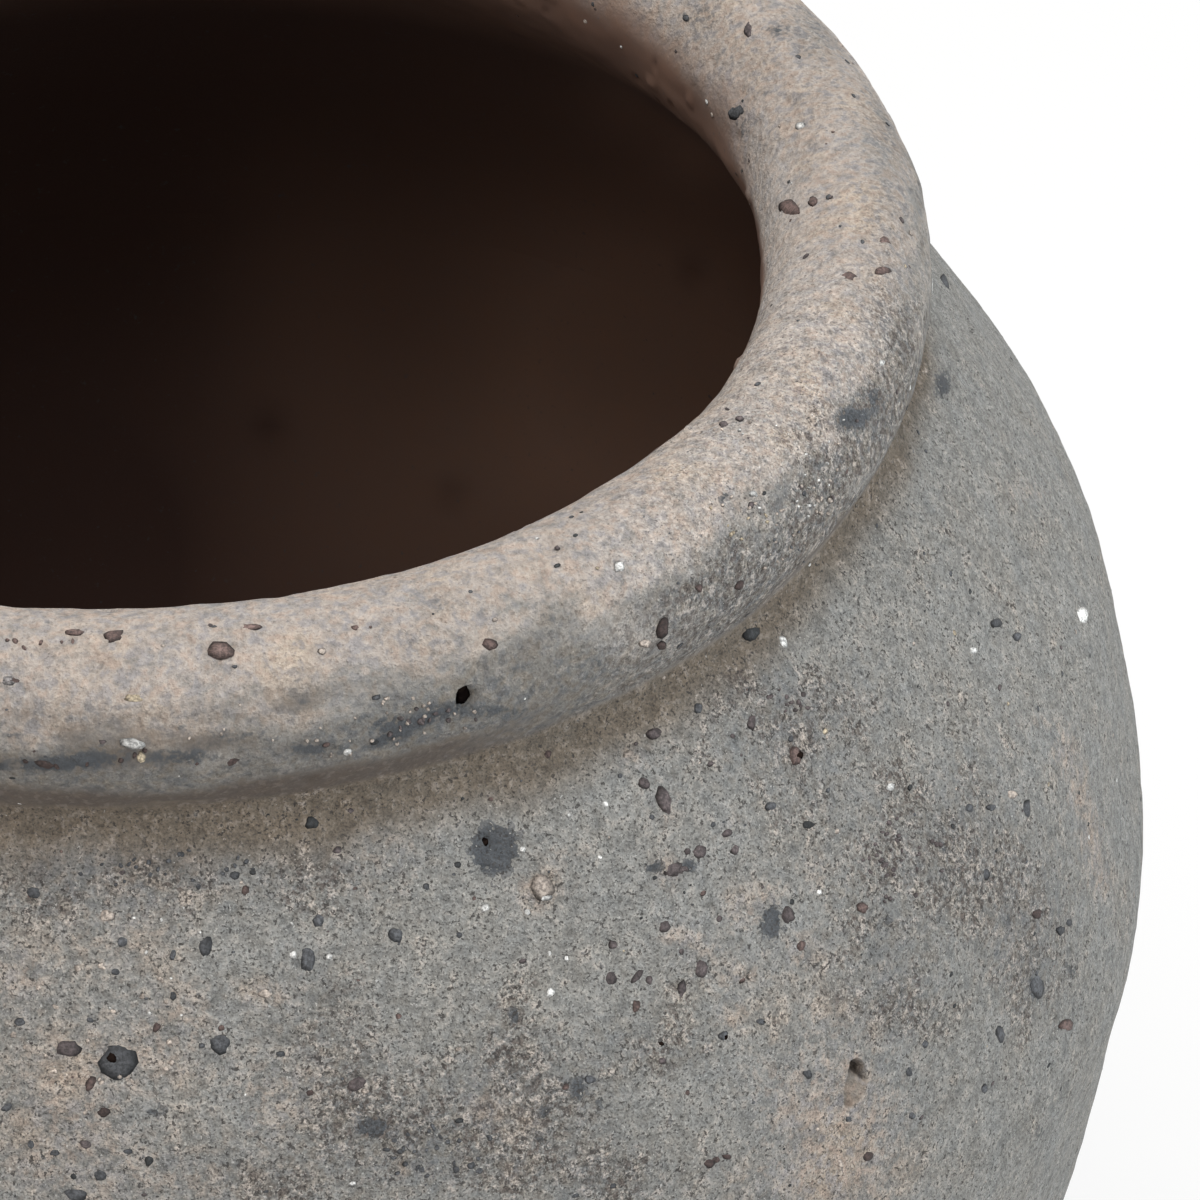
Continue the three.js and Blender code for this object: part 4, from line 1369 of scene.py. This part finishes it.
def bung_mesh():
    """The outline turned about the axis, each ring a circle, with a point on the axis at both ends."""
    outline = bung_section()[1:-1]
    turn = np.arange(BUNG_SIDES) * 2 * np.pi / BUNG_SIDES
    ring = np.stack(
        [
            outline.real[:, None] * np.cos(turn),
            outline.real[:, None] * np.sin(turn),
            outline.imag[:, None] + 0 * turn,
        ],
        axis=-1,
    )
    ends = np.array([[0, 0, bung_low.z], [0, 0, bung_high.z]])
    points = np.concatenate([ring.reshape(-1, 3), ends])
    corner = np.arange(len(outline) * BUNG_SIDES).reshape(len(outline), BUNG_SIDES)
    beside = np.roll(corner, -1, axis=1)
    sides = np.stack([corner[:-1], beside[:-1], beside[1:], corner[1:]], axis=-1).reshape(-1, 4)
    low_end = np.stack([beside[0], corner[0], np.full(BUNG_SIDES, len(points) - 2)], axis=-1)
    high_end = np.stack([corner[-1], beside[-1], np.full(BUNG_SIDES, len(points) - 1)], axis=-1)
    mesh = bpy.data.meshes.new("drain_bung_rubber")
    mesh.from_pydata(points.tolist(), [], sides.tolist() + low_end.tolist() + high_end.tolist())
    mesh.polygons.foreach_set("use_smooth", np.ones(len(mesh.polygons), dtype=bool))
    mesh.update()
    return mesh


def rubber_finish():
    """Matt black rubber: a fine bump of moulding grain, and clay dust that lies where a noise and the upward
    facing of the surface agree."""
    material, tree, body = new_finish("bung_rubber")
    place = in_mm(tree)
    facing = put(tree, "ShaderNodeNewGeometry", {}).outputs["Normal"]
    up = put(tree, "ShaderNodeSeparateXYZ", {0: facing}).outputs["Z"]
    dust = weighed(tree, grainy(tree, place, 0.35, 4.0, 0.65, 13.0), (up, 0.10))
    dust = ramp(tree, dust, 0.50, 0.72, 0.0, 0.65)
    grain = grainy(tree, place, 3.0, 3.0, 0.60, 7.0)
    rubber = coat(tree, ramp(tree, grain, 0.35, 0.65), RUBBER_BLACK, RUBBER_GREY)
    tree.links.new(coat(tree, dust, rubber, CLAY_DUST), body.inputs["Base Color"])
    tree.links.new(ramp(tree, dust, 0.0, 0.6, 0.55, 0.92), body.inputs["Roughness"])
    bump = put(tree, "ShaderNodeBump", {"Strength": 0.5, "Distance": 0.0001, "Height": grain})
    tree.links.new(bump.outputs[0], body.inputs["Normal"])
    return material


bung = bpy.data.objects.new("drain_bung_rubber", bung_mesh())
bpy.context.scene.collection.objects.link(bung)
bung.data.materials.append(rubber_finish())
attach(bung, "bung")
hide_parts("drain_bung")

# The floor and the light: a white studio floor, a soft light overhead, a cooler one on the right and a pale
# room all round. The ground under the pot doesn't glow, so that the open drain hole looks dark.
FLOOR_SIDE = 12
FLOOR_GLOW = 0.8
WHITE = (1, 1, 1, 1)
PALE_FLOOR = (0.9, 0.9, 0.9, 1)
WARM_ROOM = (1.0, 0.975, 0.945, 1)
ROOM_STRENGTH = 0.58


def looked_at(tree):
    """1 for a ray from the camera, straight, mirrored or passed through, and 0 for one that only lights."""
    path = put(tree, "ShaderNodeLightPath", {}).outputs
    seen = maths(tree, "MAXIMUM", path["Is Camera Ray"], path["Is Glossy Ray"])
    return maths(tree, "MAXIMUM", seen, path["Is Transmission Ray"])


def floor_finish():
    """Pale paint that glows where the camera looks at it, by nothing under the pot."""
    material, tree, paint = new_finish("studio_floor")
    paint.inputs["Base Color"].default_value = PALE_FLOOR
    paint.inputs["Roughness"].default_value = 0.9
    glow = put(tree, "ShaderNodeEmission", {"Color": WHITE, "Strength": 1.0}).outputs[0]
    place = put(tree, "ShaderNodeTexCoord", {}).outputs["Object"]
    from_axis = put(tree, "ShaderNodeVectorMath", {0: place}, operation="LENGTH").outputs["Value"]
    beside_pot = ramp(tree, from_axis, FOOT_RING_INNER, FOOT_RADIUS - FOOT_ROUND, 0.0, FLOOR_GLOW)
    share = times(tree, looked_at(tree), beside_pot)
    both = put(tree, "ShaderNodeMixShader", {0: share, 1: paint.outputs[0], 2: glow}).outputs[0]
    tree.links.new(both, tree.nodes["Material Output"].inputs["Surface"])
    return material


bpy.ops.mesh.primitive_plane_add(size=FLOOR_SIDE)
floor = bpy.context.object
floor.name = "studio_floor"
floor.data.materials.append(floor_finish())


def studio_room():
    """A pale warm room to light by, seen as plain white."""
    world = bpy.data.worlds.new("studio")
    world.use_nodes = True
    tree = world.node_tree
    room = tree.nodes["Background"]
    room.inputs["Color"].default_value = WARM_ROOM
    room.inputs["Strength"].default_value = ROOM_STRENGTH
    backdrop = put(tree, "ShaderNodeBackground", {"Color": WHITE, "Strength": 1.0}).outputs[0]
    both = put(tree, "ShaderNodeMixShader", {0: looked_at(tree), 1: room.outputs[0], 2: backdrop}).outputs[0]
    tree.links.new(both, tree.nodes["World Output"].inputs["Surface"])
    return world


bpy.context.scene.world = studio_room()


def soft_light(name, place, target, size, watts, colour):
    """A square soft light at a place, turned to a target."""
    data = bpy.data.lights.new(name, "AREA")
    data.size = size
    data.energy = watts
    data.color = colour
    lamp = bpy.data.objects.new(name, data)
    back = np.array(place, dtype=float) - np.array(target, dtype=float)
    back /= np.linalg.norm(back)
    side = np.cross([0.0, 1.0, 0.01], back)
    side /= np.linalg.norm(side)
    turn = np.eye(4)
    turn[:3, :3] = np.stack([side, np.cross(back, side), back], axis=1)
    turn[:3, 3] = place
    lamp.matrix_world = Matrix(turn.tolist())
    bpy.context.scene.collection.objects.link(lamp)


LIT_POINT = (0, 0, 0.2)
soft_light("overhead", (-0.15, -0.20, 1.7), LIT_POINT, size=1.0, watts=16.0, colour=(1.0, 0.98, 0.95))
soft_light("right_fill", (1.7, -0.5, 1.1), LIT_POINT, size=1.2, watts=16.0, colour=(0.83, 0.93, 1.0))

bpy.context.scene.view_settings.view_transform = "Standard"
